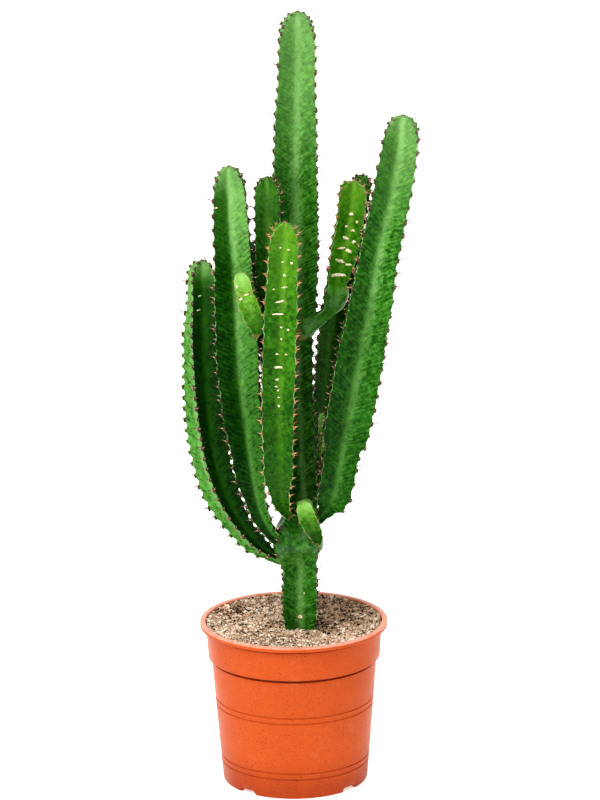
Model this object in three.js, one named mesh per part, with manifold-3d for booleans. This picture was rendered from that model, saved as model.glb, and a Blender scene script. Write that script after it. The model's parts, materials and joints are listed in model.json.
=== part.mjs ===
// A ribbed, upright euphorbia in a round plastic nursery pot. Millimetres, +Z up.
// Azimuths and positions are measured from the pot's own axis until the last lines,
// which stand the whole object on the middle of its footprint.
import * as THREE from 'three';
import { mergeVertices } from 'three/addons/utils/BufferGeometryUtils.js';
import Module from 'manifold-3d';

const wasm = await Module();
wasm.setup();

// ---- driving dimensions ----

const GAP = 0.3;                 // clearance between pieces that touch

const POT_HEIGHT = 210;
const LIP_RADIUS = 120;          // the rim's outer edge
const LIP_HEIGHT = 6.5;
const LIP_WIDTH = 7.2;           // across the flat top of the rim
const COLLAR_BOTTOM_Z = 164;     // lower edge of the upright band under the lip
const COLLAR_TOP_RADIUS = 112.4;
const COLLAR_BOTTOM_RADIUS = 110;
const BODY_TOP_RADIUS = 105.6;
const BODY_FOOT_RADIUS = 92.6;
const WALL = 2.4;
const GROOVE_HEIGHTS = [30.5, 107];   // middle of each pair of grooves
const GROOVE_PAIR_SPACING = 8;
const GROOVE_DEPTH = 0.7;
const GROOVE_HALF_WIDTH = 1.1;
const FOOT_RING_WIDTH = 6;
const FLOOR_BOTTOM_Z = 6;        // the floor stands clear of the bench on the foot ring
const FLOOR_THICKNESS = 2.4;
const FOOT_NOTCH_COUNT = 4;
const FOOT_NOTCH_TURN = 3.5;     // degrees, first notch away from the 45 degree line
const FOOT_NOTCH_WIDTH = 24;
const FOOT_NOTCH_HEIGHT = 5.5;
const DRAIN_HOLE_COUNT = 6;
const DRAIN_HOLE_RADIUS = 6;
const DRAIN_CIRCLE_RADIUS = 58;
const POT_SEGMENTS = 64;

const SOIL_TOP_Z = 204;
const SOIL_RING_COUNT = 6;
const SOIL_SEGMENTS = 36;
const SOIL_ROUGHNESS = 1;        // height of the gentle mounds in its surface

const RIB_COUNT = 4;
const VALLEY_RATIO = 0.44;       // valley depth from the axis, as a part of the rib radius
const SIDE_SEGMENTS = 16;        // four faces around each quarter of a column

// ---- materials ----

const finish = (color, roughness) => new THREE.MeshStandardMaterial({ color, roughness, metalness: 0 });
const potPlastic = finish(0xdd5f31, 0.45);
const pottingMix = finish(0x93806b, 0.95);
const matureSkin = finish(0x6f8a4e, 0.5);
const shadedSkin = finish(0x4c6347, 0.55);
const scarredSkin = finish(0x8c9a4c, 0.55);
const youngSkin = finish(0x9cb35f, 0.45);

// ---- solids ----

function toSolid(geometry) {
  const bare = geometry.clone();
  bare.deleteAttribute('normal');
  bare.deleteAttribute('uv');
  const merged = mergeVertices(bare, 1e-3);
  return new wasm.Manifold(new wasm.Mesh({
    numProp: 3,
    vertProperties: new Float32Array(merged.attributes.position.array),
    triVerts: new Uint32Array(merged.index.array),
  }));
}

function toGeometry(solid) {
  const mesh = solid.getMesh();
  const geometry = new THREE.BufferGeometry();
  geometry.setAttribute('position', new THREE.BufferAttribute(mesh.vertProperties, 3));
  geometry.setIndex(new THREE.BufferAttribute(mesh.triVerts, 1));
  geometry.computeVertexNormals();
  return geometry;
}

function piece(name, solid, material) {
  const mesh = new THREE.Mesh(toGeometry(solid), material);
  mesh.name = name;
  return mesh;
}

// ---- columns ----

// The girth at distance s along a column: straight lines between [distance, rib radius] pairs,
// eased at both ends of each stretch, and a rounded dome over the last tipLength.
function ribRadiusAt(s, length, girth, tipLength) {
  const last = girth.length - 1;
  let radius = girth[last][1];
  for (let i = 0; i < last; i += 1) {
    const [fromS, fromR] = girth[i];
    const [toS, toR] = girth[i + 1];
    if (s >= fromS && s < toS) {
      radius = THREE.MathUtils.lerp(fromR, toR, THREE.MathUtils.smoothstep(s, fromS, toS));
      break;
    }
  }
  const intoTip = THREE.MathUtils.clamp((s - (length - tipLength)) / tipLength, 0, 0.97);
  return radius * Math.sqrt(1 - intoTip ** 2);
}

// Distances along a column where its cross-sections stand: even, but closer over the tip.
function sectionDistances(length, tipLength, spacing) {
  const evenCount = Math.max(4, Math.round((length - tipLength) / spacing));
  const distances = [];
  for (let i = 0; i <= evenCount; i += 1) {
    distances.push((length - tipLength) * (i / evenCount));
  }
  for (const part of [0.45, 0.75, 0.92, 1]) {
    distances.push(length - tipLength * (1 - part));
  }
  return distances;
}

// A ribbed stem swept along its line of growth. It is a closed cylinder whose rings are moved on to
// star-shaped sections. Angle 0 of a section faces -Y, and a twist of 0 turns a valley that way.
function columnGeometry({ route, girth, twist = [0, 0], tipLength = 26, spacing = 34, swell = 0 }) {
  const line = new THREE.CatmullRomCurve3(route.map((p) => new THREE.Vector3(...p)), false, 'centripetal');
  line.arcLengthDivisions = 400;
  const length = line.getLength();
  const distances = sectionDistances(length, tipLength, spacing);
  const rows = distances.length - 1;
  const geometry = new THREE.CylinderGeometry(1, 1, 1, SIDE_SEGMENTS, rows, false);
  const position = geometry.attributes.position;
  const forward = new THREE.Vector3(0, -1, 0);
  for (let i = 0; i < position.count; i += 1) {
    const row = Math.round((position.getY(i) + 0.5) * rows);
    const part = distances[row] / length;
    const isRim = Math.hypot(position.getX(i), position.getZ(i)) > 0.5;
    const centre = line.getPointAt(part);
    const along = line.getTangentAt(part);
    const front = forward.clone().addScaledVector(along, -forward.dot(along)).normalize();
    const right = new THREE.Vector3().crossVectors(along, front);
    if (part === 0 || part === 1) {
      centre.addScaledVector(along, part === 0 ? -swell : swell);
    }
    if (isRim) {
      const angle = Math.atan2(position.getX(i), position.getZ(i));
      const turn = THREE.MathUtils.degToRad(THREE.MathUtils.lerp(twist[0], twist[1], part));
      const toValley = Math.abs(Math.cos((angle * RIB_COUNT) / 2));
      const ribRadius = ribRadiusAt(distances[row], length, girth, tipLength) + swell;
      const radius = ribRadius * THREE.MathUtils.lerp(1, VALLEY_RATIO, toValley ** 0.8);
      centre.addScaledVector(front, radius * Math.cos(angle + turn));
      centre.addScaledVector(right, radius * Math.sin(angle + turn));
    }
    position.setXYZ(i, centre.x, centre.y, centre.z);
  }
  return geometry;
}

// A column that grows from a parent: its foot is cut to the parent's skin with the standing gap.
function grownSolid(growth, parentGrowth) {
  const parentSkin = toSolid(columnGeometry({ ...parentGrowth, swell: GAP * 1.5 }));
  return toSolid(columnGeometry(growth)).subtract(parentSkin);
}

const MAIN_STEM = {
  route: [
    [8, -14, 150], [8, -14, 240], [8, -13, 290], [6, -12, 307], [7, -11, 323], [13, -8, 372], [12, -4, 437],
    [9, 3, 527], [8, 6, 591], [9, 8, 707], [8, 8, 797], [10, 8, 887], [13, 8, 998],
  ],
  girth: [
    [0, 26], [50, 26], [80, 31], [132, 30], [166, 38], [182, 37], [212, 27], [290, 25], [420, 28],
    [446, 27], [462, 35], [545, 38], [640, 39], [700, 37], [770, 34], [810, 32],
  ],
  tipLength: 40,
  spacing: 30,
};

const COLUMNS = {
  right_column: {
    route: [
      [22, -14, 345], [34, -26, 356], [46, -42, 376], [54, -54, 402], [63, -58, 452], [76, -62, 518],
      [88, -62, 583], [101, -62, 647], [112, -60, 710], [126, -60, 774], [137, -60, 837], [142, -60, 880],
    ],
    girth: [
      [0, 10], [30, 11], [46, 15], [62, 26], [78, 30], [134, 31.5],
      [152, 40], [190, 42], [250, 42], [322, 38], [386, 35], [463, 34], [553, 31],
    ],
    twist: [0, -4],
    tipLength: 34,
  },
  left_column: {
    route: [
      [-4, -18, 312], [-18, -27, 325], [-31, -38, 343], [-43, -45, 372], [-51, -50, 412], [-56, -52, 451],
      [-65, -55, 544], [-68, -55, 647], [-73, -55, 760], [-74, -55, 817],
    ],
    girth: [[0, 9], [40, 11], [80, 17], [140, 28], [220, 35], [280, 38], [350, 37], [440, 31], [530, 27]],
    twist: [0, 0],
    tipLength: 34,
  },
  front_column: {
    route: [
      [2, -16, 352], [-7, -34, 364], [-13, -52, 381], [-17, -74, 418], [-17, -89, 461], [-17, -95, 515],
      [-13, -98, 619], [-8, -98, 714], [-5, -98, 755],
    ],
    girth: [[0, 8], [30, 9], [70, 17], [120, 27], [230, 29.5], [330, 29.5], [400, 26]],
    twist: [0, 0],
    tipLength: 26,
  },
  centre_left_column: {
    route: [[2, -8, 445], [-9, -24, 458], [-17, -41, 507], [-22, -48, 568], [-26, -50, 650], [-27, -50, 802]],
    girth: [[0, 7], [30, 9], [80, 17], [160, 23], [300, 23]],
    twist: [0, 0],
    tipLength: 26,
  },
  outer_left_column: {
    route: [
      [4, -12, 290], [-20, -18, 299], [-42, -22, 314], [-64, -22, 338], [-86, -16, 376], [-101, -8, 420],
      [-107, -2, 464], [-111, 0, 520], [-112, 0, 600], [-110, 0, 684],
    ],
    girth: [[0, 8], [30, 9], [70, 16], [150, 25], [230, 28], [330, 27], [400, 22]],
    twist: [46, 10],
    tipLength: 22,
  },
  rear_left_column: {
    route: [[6, 2, 452], [-8, 6, 470], [-22, 2, 520], [-34, -6, 590], [-44, -10, 640], [-50, -10, 710]],
    girth: [[0, 6], [24, 7], [70, 12], [200, 11]],
    tipLength: 16,
  },
  rear_right_column: {
    route: [
      [12, 0, 345], [24, 24, 366], [34, 42, 400], [40, 48, 443], [43, 49, 489], [49, 47, 556],
      [59, 42, 622], [74, 36, 688], [93, 30, 785],
    ],
    girth: [[0, 8], [30, 9], [80, 17], [160, 22], [330, 22], [410, 19]],
    twist: [0, 0],
    tipLength: 22,
  },
  right_middle_column: {
    route: [
      [4, -2, 590], [16, -10, 598], [32, -14, 608], [47, -14, 620], [56, -12, 636], [60, -10, 662],
      [69, -8, 700], [77, -8, 745], [81, -8, 786],
    ],
    girth: [
      [0, 14], [20, 15], [36, 11], [52, 10], [70, 16], [84, 21], [92, 17], [104, 20], [138, 24], [200, 24.5],
    ],
    twist: [0, 0],
    tipLength: 17,
    spacing: 16,
  },
  trunk_shoot: {
    route: [[24, -26, 316], [31, -38, 326], [29, -48, 340], [24, -56, 353], [18, -59, 368], [13, -60, 387]],
    girth: [[0, 6], [17, 7], [34, 11], [50, 14.5], [66, 16], [80, 14.5]],
    twist: [0, 0],
    tipLength: 8,
    spacing: 12,
  },
  upper_bud: {
    route: [[20, 4, 396], [31, 7, 412], [37, 8, 436], [38, 8, 482]],
    girth: [[0, 4], [16, 4.5], [36, 8], [70, 7]],
    tipLength: 10,
    spacing: 14,
  },
  lower_bud: {
    route: [[20, -6, 366], [33, -8, 382], [40, -9, 404], [42, -9, 456]],
    girth: [[0, 4], [16, 4.5], [34, 8], [64, 7]],
    tipLength: 10,
    spacing: 14,
  },
};

const LEFT_COLUMN_OFFSET = {
  route: [
    [-46, -74, 604], [-42, -84, 612], [-42, -94, 624], [-47, -99, 642], [-54, -100, 662], [-61, -100, 693],
  ],
  girth: [[0, 5], [14, 6], [28, 12], [46, 17.5], [62, 18], [70, 17], [76, 14.5], [84, 15], [96, 14.5]],
  twist: [0, 0],
  tipLength: 11,
  spacing: 10,
};

// ---- pot ----

function groovePoints(middleZ, wallRadiusAt) {
  const points = [];
  for (const side of [-1, 1]) {
    const z = middleZ + (side * GROOVE_PAIR_SPACING) / 2;
    points.push([wallRadiusAt(z - GROOVE_HALF_WIDTH), z - GROOVE_HALF_WIDTH]);
    points.push([wallRadiusAt(z) - GROOVE_DEPTH, z]);
    points.push([wallRadiusAt(z + GROOVE_HALF_WIDTH), z + GROOVE_HALF_WIDTH]);
  }
  return points;
}

function potSolid() {
  const bodyTopZ = COLLAR_BOTTOM_Z - 3;
  const wallRadiusAt = (z) => THREE.MathUtils.mapLinear(z, 0, bodyTopZ, BODY_FOOT_RADIUS, BODY_TOP_RADIUS);
  const lipBottomZ = POT_HEIGHT - LIP_HEIGHT;
  const floorTopZ = FLOOR_BOTTOM_Z + FLOOR_THICKNESS;
  const profile = [
    [0, FLOOR_BOTTOM_Z],
    [BODY_FOOT_RADIUS - FOOT_RING_WIDTH - 1, FLOOR_BOTTOM_Z],
    [BODY_FOOT_RADIUS - FOOT_RING_WIDTH, 0],
    [BODY_FOOT_RADIUS - 1.6, 0],
    [wallRadiusAt(2) - 0.2, 1.4],
    [wallRadiusAt(4), 4],
    ...groovePoints(GROOVE_HEIGHTS[0], wallRadiusAt),
    ...groovePoints(GROOVE_HEIGHTS[1], wallRadiusAt),
    [BODY_TOP_RADIUS, bodyTopZ],
    [COLLAR_BOTTOM_RADIUS - 1, COLLAR_BOTTOM_Z + 0.6],
    [COLLAR_BOTTOM_RADIUS, COLLAR_BOTTOM_Z + 2.5],
    [COLLAR_TOP_RADIUS, lipBottomZ - 0.6],
    [LIP_RADIUS - 1.2, lipBottomZ],
    [LIP_RADIUS, lipBottomZ + 1.6],
    [LIP_RADIUS, POT_HEIGHT - 2.4],
    [LIP_RADIUS - 2.2, POT_HEIGHT],
    [LIP_RADIUS - LIP_WIDTH + 0.8, POT_HEIGHT],
    [LIP_RADIUS - LIP_WIDTH, POT_HEIGHT - 1],
    [COLLAR_TOP_RADIUS - WALL, lipBottomZ - 3],
    [COLLAR_BOTTOM_RADIUS - WALL, COLLAR_BOTTOM_Z + 4],
    [BODY_TOP_RADIUS - WALL, bodyTopZ - 2],
    [wallRadiusAt(floorTopZ + 3) - WALL, floorTopZ + 3],
    [wallRadiusAt(floorTopZ) - WALL - 3, floorTopZ],
    [0, floorTopZ],
  ];
  const shell = new THREE.LatheGeometry(profile.map(([r, z]) => new THREE.Vector2(r, z)), POT_SEGMENTS);
  shell.rotateX(Math.PI / 2);
  let solid = toSolid(shell);
  for (let i = 0; i < FOOT_NOTCH_COUNT; i += 1) {
    const azimuth = THREE.MathUtils.degToRad(45 + FOOT_NOTCH_TURN + (i * 360) / FOOT_NOTCH_COUNT);
    const notch = new THREE.BoxGeometry(3 * FOOT_RING_WIDTH, FOOT_NOTCH_WIDTH, 2 * FOOT_NOTCH_HEIGHT);
    notch.translate(BODY_FOOT_RADIUS, 0, 0);
    notch.rotateZ(azimuth);
    solid = solid.subtract(toSolid(notch));
  }
  for (let i = 0; i < DRAIN_HOLE_COUNT; i += 1) {
    const azimuth = (i * 2 * Math.PI) / DRAIN_HOLE_COUNT;
    const hole = new THREE.CylinderGeometry(DRAIN_HOLE_RADIUS, DRAIN_HOLE_RADIUS, 3 * FLOOR_THICKNESS, 16);
    hole.rotateX(Math.PI / 2);
    hole.translate(
      DRAIN_CIRCLE_RADIUS * Math.cos(azimuth),
      DRAIN_CIRCLE_RADIUS * Math.sin(azimuth),
      FLOOR_BOTTOM_Z + FLOOR_THICKNESS / 2,
    );
    solid = solid.subtract(toSolid(hole));
  }
  return solid;
}

// ---- soil ----

function soilSolid() {
  const floorZ = FLOOR_BOTTOM_Z + FLOOR_THICKNESS + GAP;
  const clearance = 2 * GAP;
  const bottomRadius = BODY_FOOT_RADIUS - WALL - 3 - clearance;
  const collarInside = COLLAR_BOTTOM_RADIUS - WALL - clearance;
  const topRadius = COLLAR_TOP_RADIUS - WALL - clearance;
  const profile = [
    [0, floorZ],
    [bottomRadius, floorZ],
    [BODY_TOP_RADIUS - WALL - clearance, COLLAR_BOTTOM_Z - 6],
    [collarInside - 0.4, COLLAR_BOTTOM_Z + 5],
    [topRadius - 1, SOIL_TOP_Z - 7],
    [topRadius - 0.6, SOIL_TOP_Z - 3.5],
  ];
  for (let i = SOIL_RING_COUNT - 1; i > 0; i -= 1) {
    profile.push([((topRadius - 3) * i) / (SOIL_RING_COUNT - 1), SOIL_TOP_Z]);
  }
  profile.push([0, SOIL_TOP_Z]);
  const mix = new THREE.LatheGeometry(profile.map(([r, z]) => new THREE.Vector2(r, z)), SOIL_SEGMENTS);
  mix.rotateX(Math.PI / 2);
  const position = mix.attributes.position;
  for (let i = 0; i < position.count; i += 1) {
    const x = position.getX(i);
    const y = position.getY(i);
    const z = position.getZ(i);
    if (z > SOIL_TOP_Z - 1) {
      position.setZ(i, z + SOIL_ROUGHNESS * Math.sin(x / 17 + 1) * Math.cos(y / 21 - 0.6));
    }
  }
  return toSolid(mix);
}

// ---- assembly ----

const object = new THREE.Group();
object.add(piece('pot', potSolid(), potPlastic));
const stemPocket = toSolid(columnGeometry({ ...MAIN_STEM, swell: GAP * 1.5 }));
object.add(piece('soil', soilSolid().subtract(stemPocket), pottingMix));
object.add(piece('main_stem', toSolid(columnGeometry(MAIN_STEM)), matureSkin));

const skins = {
  front_column: scarredSkin,
  right_middle_column: scarredSkin,
  rear_right_column: shadedSkin,
  centre_left_column: shadedSkin,
  rear_left_column: shadedSkin,
  trunk_shoot: youngSkin,
  upper_bud: youngSkin,
  lower_bud: youngSkin,
};
for (const [name, growth] of Object.entries(COLUMNS)) {
  object.add(piece(name, grownSolid(growth, MAIN_STEM), skins[name] ?? matureSkin));
}
object.add(piece('left_column_offset', grownSolid(LEFT_COLUMN_OFFSET, COLUMNS.left_column), youngSkin));

const extent = new THREE.Box3().setFromObject(object);
const middle = extent.getCenter(new THREE.Vector3());
object.position.set(-middle.x, -middle.y, -extent.min.z);

export default object;
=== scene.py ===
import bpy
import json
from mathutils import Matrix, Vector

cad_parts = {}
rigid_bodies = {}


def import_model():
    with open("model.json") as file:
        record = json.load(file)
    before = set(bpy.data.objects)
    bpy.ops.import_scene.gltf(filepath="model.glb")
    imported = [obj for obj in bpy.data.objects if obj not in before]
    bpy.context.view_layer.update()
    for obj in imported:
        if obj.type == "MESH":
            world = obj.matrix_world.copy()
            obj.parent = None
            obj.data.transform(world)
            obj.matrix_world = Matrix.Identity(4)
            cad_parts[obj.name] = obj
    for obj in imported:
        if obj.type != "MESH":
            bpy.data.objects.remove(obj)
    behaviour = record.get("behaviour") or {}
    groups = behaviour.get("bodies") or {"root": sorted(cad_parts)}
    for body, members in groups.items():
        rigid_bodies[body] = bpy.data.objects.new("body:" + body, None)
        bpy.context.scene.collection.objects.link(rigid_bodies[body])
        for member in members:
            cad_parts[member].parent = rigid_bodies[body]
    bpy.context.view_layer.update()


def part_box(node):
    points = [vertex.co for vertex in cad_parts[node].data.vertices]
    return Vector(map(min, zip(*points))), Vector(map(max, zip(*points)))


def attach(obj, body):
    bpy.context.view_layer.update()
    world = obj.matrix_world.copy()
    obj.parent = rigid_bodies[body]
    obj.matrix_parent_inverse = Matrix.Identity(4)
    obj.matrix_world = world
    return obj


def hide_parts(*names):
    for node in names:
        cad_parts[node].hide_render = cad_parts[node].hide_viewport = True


bl_info = {
    "name": "Potted Euphorbia",
    "version": (1, 0, 0),
    "blender": (4, 5, 0),
    "location": "View3D > Sidebar > Euphorbia",
    "description": "Grows a ribbed, spiny euphorbia in a nursery pot around its CAD frame",
    "category": "Add Mesh",
}

import json
import math
import random
from types import SimpleNamespace

import bmesh
import bpy
import numpy as np
from bpy.props import FloatProperty, FloatVectorProperty, IntProperty, PointerProperty
from bpy.types import Operator, Panel, PropertyGroup
from mathutils import Matrix, Vector, noise

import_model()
POT_LOW, POT_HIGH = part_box("pot")
POT_CENTRE = Vector(((POT_LOW[0] + POT_HIGH[0]) / 2, (POT_LOW[1] + POT_HIGH[1]) / 2, POT_LOW[2]))
POT_HEIGHT = POT_HIGH[2] - POT_LOW[2]
RIM_RADIUS = (POT_HIGH[0] - POT_LOW[0]) / 2
COLLAR_Z = 0.164          # underside of the pot's collar
SOIL_LOW, SOIL_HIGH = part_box("soil")
MM = 0.001
ROOT = "root"

# ---------------------------------------------------------------------------
# The plant's growth: lines of growth in millimetres from the pot's foot and
# axis, as in the CAD part, and girths as [distance along, rib radius] pairs.
# ---------------------------------------------------------------------------


def column(route, girth, twist=(0, 0), tip=26, areoles=17, skin="mature", **more):
    """The growth of one column, in millimetres, with what most columns share.

    twist and lean are at the foot and the tip, twist in degrees. areoles is their spacing. knuckles are
    (distance along, reach) and rings are distances along. The eight face values are painted light where
    positive and painted shade where negative: how much paler or darker the left and right half of each face
    is. The foot value is how far the foot darkens with painted shade.
    """
    values = dict(
        route=route, girth=girth, twist=twist, lean=(0, 0), tip=tip, areoles=areoles, skin=skin,
        horn="dark_horn", first_areole=34, spine=6.0, vein=1.0, valley=0.34, scallop=1.0, row=1.0,
        knuckles=(), rings=(), bloom=(0,) * 8, dusk=1.0, scars=(),
    )
    values.update(more)
    return SimpleNamespace(**values)


# healed scars as (distance along, face, place across, width, length along), the last two in millimetres
FRONT_SCARS = [
    (402, 0, 0.30, 4.0, 1.8), (404, 0, -0.25, 2.5, 1.8), (386, 0, 0.55, 3.0, 2.6), (386, 0, -0.05, 4.5, 1.5),
    (369, 0, 0.10, 4.0, 3.2), (354, 0, 0.10, 8.5, 2.0), (352, 0, -0.55, 2.2, 1.8), (336, 0, -0.10, 11.0, 2.0),
    (320, 0, -0.20, 13.0, 2.2), (303, 0, 0.0, 3.0, 2.2), (301, 0, 0.45, 3.5, 2.4), (288, 0, 0.0, 3.0, 2.2),
    (269, 0, -0.20, 3.5, 2.4), (269, 0, 0.35, 3.5, 2.4), (252, 0, -0.10, 11.0, 2.6),
    (236, 0, -0.15, 4.5, 2.0), (227, 0, -0.20, 3.5, 1.8), (222, 0, -0.10, 3.0, 1.6),
    (213, 0, -0.05, 3.0, 1.6), (202, 0, -0.05, 2.5, 2.4),
]
MIDDLE_SCARS = [
    (186, 0, 0.0, 5.9, 3.9), (170, 0, -0.2, 5.2, 2.9), (166, 0, 0.3, 6.5, 2.9), (155, 0, -0.1, 9.1, 4.2),
    (152, 0, 0.5, 5.2, 3.9), (141, 0, -0.3, 10.4, 3.4), (139, 0, 0.3, 10.4, 4.2), (124, 0, -0.2, 15.6, 3.9),
    (122, 0, 0.5, 7.8, 3.1), (106, 0, 0.0, 19.5, 4.4), (104, 0, -0.5, 6.5, 3.1), (178, 0, 0.5, 3.9, 3.1),
]

# each column's eight face values are painted light (positive) and painted shade (negative) on the halves of
# its faces; its foot value is painted shade towards the foot
COLUMNS = {
    "main_stem": column(
        [(8, -14, 150), (8, -14, 240), (8, -13, 290), (6, -12, 307), (7, -11, 323), (13, -8, 372),
         (12, -4, 437), (9, 3, 527), (8, 6, 591), (9, 8, 707), (8, 8, 797), (10, 8, 887), (13, 8, 998)],
        [(0, 26), (50, 26), (80, 31), (132, 30), (166, 38), (182, 37), (212, 27), (290, 25), (420, 28),
         (446, 27), (462, 35), (545, 38), (640, 39), (700, 37), (770, 34), (810, 32)],
        tip=40, areoles=15.7, first_areole=66, spine=6.8, scallop=0.8, knuckles=[(170, 26), (452, 14)],
        bloom=(-0.5, -0.1, 0, 0, 0, 0, 0, 0), dusk=0.5,
        scars=[(72, 0, 0.0, 6.0, 4.5), (104, 0, 0.25, 2.2, 2.0)],
    ),
    "right_column": column(
        [(22, -14, 345), (34, -26, 356), (46, -42, 376), (54, -54, 402), (63, -58, 452), (76, -62, 518),
         (88, -62, 583), (101, -62, 647), (112, -60, 710), (126, -60, 774), (137, -60, 837), (142, -60, 880)],
        [(0, 10), (30, 11), (46, 15), (62, 26), (78, 30), (134, 31.5), (152, 40), (190, 42), (250, 42),
         (322, 38), (386, 35), (463, 34), (553, 31)],
        twist=(0, -4), lean=(-0.05, -0.12), tip=34, areoles=17.2, first_areole=60, scallop=0.9, vein=1.5,
        spine=7.0, bloom=(-0.9, 0.0, 0, 0, 0, 0, 0, 0),
    ),
    "left_column": column(
        [(-4, -18, 312), (-18, -27, 325), (-31, -38, 343), (-43, -45, 372), (-51, -50, 412), (-56, -52, 451),
         (-65, -55, 544), (-68, -55, 647), (-73, -55, 760), (-74, -55, 817)],
        [(0, 9), (40, 11), (80, 17), (140, 28), (220, 35), (280, 38), (350, 37), (440, 31), (530, 27)],
        lean=(0.42, -0.17), tip=34, areoles=18, first_areole=44, scallop=0.9, vein=1.6, spine=7.0,
        bloom=(-1.25, 0.55, 0, 0, 0, 0, 0, 0), dusk=1.2, scars=[(478, 0, -0.80, 5.0, 2.2)],
    ),
    "front_column": column(
        [(2, -16, 352), (-7, -34, 364), (-13, -52, 381), (-17, -74, 418), (-17, -89, 461), (-17, -95, 515),
         (-13, -98, 619), (-8, -98, 714), (-5, -98, 755)],
        [(0, 8), (30, 9), (70, 17), (120, 27), (230, 29.5), (330, 29.5), (400, 26)],
        lean=(0.45, 0.1), tip=26, areoles=16.8, skin="scarred", horn="rusty_horn", vein=0.35, first_areole=40,
        bloom=(-0.5, 0, 0, 0, 0, 0, 0, 0), scars=FRONT_SCARS,
    ),
    "centre_left_column": column(
        [(2, -8, 445), (-9, -24, 458), (-17, -41, 507), (-22, -48, 568), (-26, -50, 650), (-27, -50, 802)],
        [(0, 7), (30, 9), (80, 17), (160, 23), (300, 23)],
        tip=26, areoles=14, skin="shaded",
    ),
    "outer_left_column": column(
        [(4, -12, 290), (-20, -18, 299), (-42, -22, 314), (-64, -22, 338), (-86, -16, 376), (-101, -8, 420),
         (-107, -2, 464), (-111, 0, 520), (-112, 0, 600), (-110, 0, 684)],
        [(0, 8), (30, 9), (70, 16), (150, 25), (230, 28), (330, 27), (400, 22)],
        twist=(46, 10), tip=22, areoles=13.5, spine=8.0, scallop=1.2,
        bloom=(-1.9, -1.9, 0, 0, 0, 0, 0.55, 0.55), dusk=0.35,
        scars=[(400, 0, -0.3, 5.0, 1.8), (382, 0, -0.4, 6.0, 1.8)],
    ),
    "rear_left_column": column(
        [(6, 2, 452), (-8, 6, 470), (-22, 2, 520), (-34, -6, 590), (-44, -10, 640), (-50, -10, 710)],
        [(0, 6), (24, 7), (70, 12), (200, 11)],
        tip=16, areoles=12, skin="shaded",
    ),
    "rear_right_column": column(
        [(12, 0, 345), (24, 24, 366), (34, 42, 400), (40, 48, 443), (43, 49, 489), (49, 47, 556),
         (59, 42, 622), (74, 36, 688), (93, 30, 785)],
        [(0, 8), (30, 9), (80, 17), (160, 22), (330, 22), (410, 19)],
        tip=22, areoles=13, spine=7.5, skin="shaded",
    ),
    "right_middle_column": column(
        [(4, -2, 590), (16, -10, 598), (32, -14, 608), (47, -14, 620), (56, -12, 636), (60, -10, 662),
         (69, -8, 700), (77, -8, 745), (81, -8, 786)],
        [(0, 14), (20, 15), (36, 11), (52, 10), (70, 16), (84, 21), (92, 17), (104, 20), (138, 24),
         (200, 24.5)],
        tip=17, areoles=14, skin="scarred", horn="rusty_horn", vein=0.4, first_areole=72,
        knuckles=[(20, 30), (72, 16)], dusk=0.25, scars=MIDDLE_SCARS,
    ),
    "trunk_shoot": column(
        [(24, -26, 316), (31, -38, 326), (29, -48, 340), (24, -56, 353), (18, -59, 368), (13, -60, 387)],
        [(0, 6), (17, 7), (34, 11), (50, 14.5), (66, 16), (80, 14.5)],
        tip=8, areoles=13, skin="young", horn="rusty_horn", spine=2.5, vein=0.3, first_areole=26, scallop=0.5,
        bloom=(-1.0, -0.7, -0.6, -0.6, -0.6, -0.6, -0.6, -0.6), dusk=1.4,
    ),
    "upper_bud": column(
        [(20, 4, 396), (31, 7, 412), (37, 8, 436), (38, 8, 482)],
        [(0, 4), (16, 4.5), (36, 8), (70, 7)],
        tip=10, areoles=9, skin="young", spine=4.0, vein=0.3, first_areole=24, scallop=0.6,
    ),
    "lower_bud": column(
        [(20, -6, 366), (33, -8, 382), (40, -9, 404), (42, -9, 456)],
        [(0, 4), (16, 4.5), (34, 8), (64, 7)],
        tip=10, areoles=9, skin="young", spine=4.0, vein=0.3, first_areole=24, scallop=0.6,
    ),
    "left_column_offset": column(
        [(-46, -74, 604), (-42, -84, 612), (-42, -94, 624), (-47, -99, 642), (-54, -100, 662),
         (-61, -100, 693)],
        [(0, 5), (14, 6), (28, 12), (46, 17.5), (62, 18), (70, 17), (76, 14.5), (84, 15), (96, 14.5)],
        tip=11, areoles=12, skin="young", horn="rusty_horn", spine=3.0, vein=0.3, first_areole=30,
        scallop=0.5, valley=0.55, rings=[76],
        scars=[(72, 0, -0.55, 5.0, 2.2), (75, 0, 0.2, 7.0, 1.6), (88, 0, -0.7, 2.5, 3.0)],
    ),
}

RIBS = 4
FACE_ARC = math.pi / RIBS     # from the middle of a face to its rib


def settings():
    return bpy.context.scene.euphorbia


def catmull_rom(points, per_span=40):
    """Points along a centripetal Catmull-Rom curve, close together."""
    p = np.array(points, float)
    p = np.vstack([2 * p[0] - p[1], p, 2 * p[-1] - p[-2]])
    u = np.linspace(0, 1, per_span, endpoint=False)[:, None]
    parts = []
    for i in range(1, len(p) - 2):
        a, b, c, d = p[i - 1 : i + 3]
        d0, d1, d2 = (np.sqrt(np.linalg.norm(y - x)) for x, y in ((a, b), (b, c), (c, d)))
        m1 = ((b - a) / d0 - (c - a) / (d0 + d1) + (c - b) / d1) * d1
        m2 = ((c - b) / d1 - (d - b) / (d1 + d2) + (d - c) / d2) * d1
        parts.append(b + m1 * u + (3 * (c - b) - 2 * m1 - m2) * u**2 + (2 * (b - c) + m1 + m2) * u**3)
    parts.append(p[-2][None, :])
    return np.vstack(parts)


def smoothstep(x, low, high):
    t = np.clip((x - low) / (high - low), 0, 1)
    return t * t * (3 - 2 * t)


def unit(v):
    return v / np.linalg.norm(v, axis=-1, keepdims=True)


def soft_noise(x, y, seed):
    """Smooth noise in about -1..1 over two coordinates, from a few fixed waves."""
    rng = np.random.default_rng(seed)
    total = np.zeros(np.broadcast(x, y).shape)
    for _ in range(6):
        fx, fy = rng.uniform(-1, 1, 2) * 1.6
        total = total + np.sin(fx * x + fy * y + rng.uniform(0, 2 * math.pi))
    return total / 3.5


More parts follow.
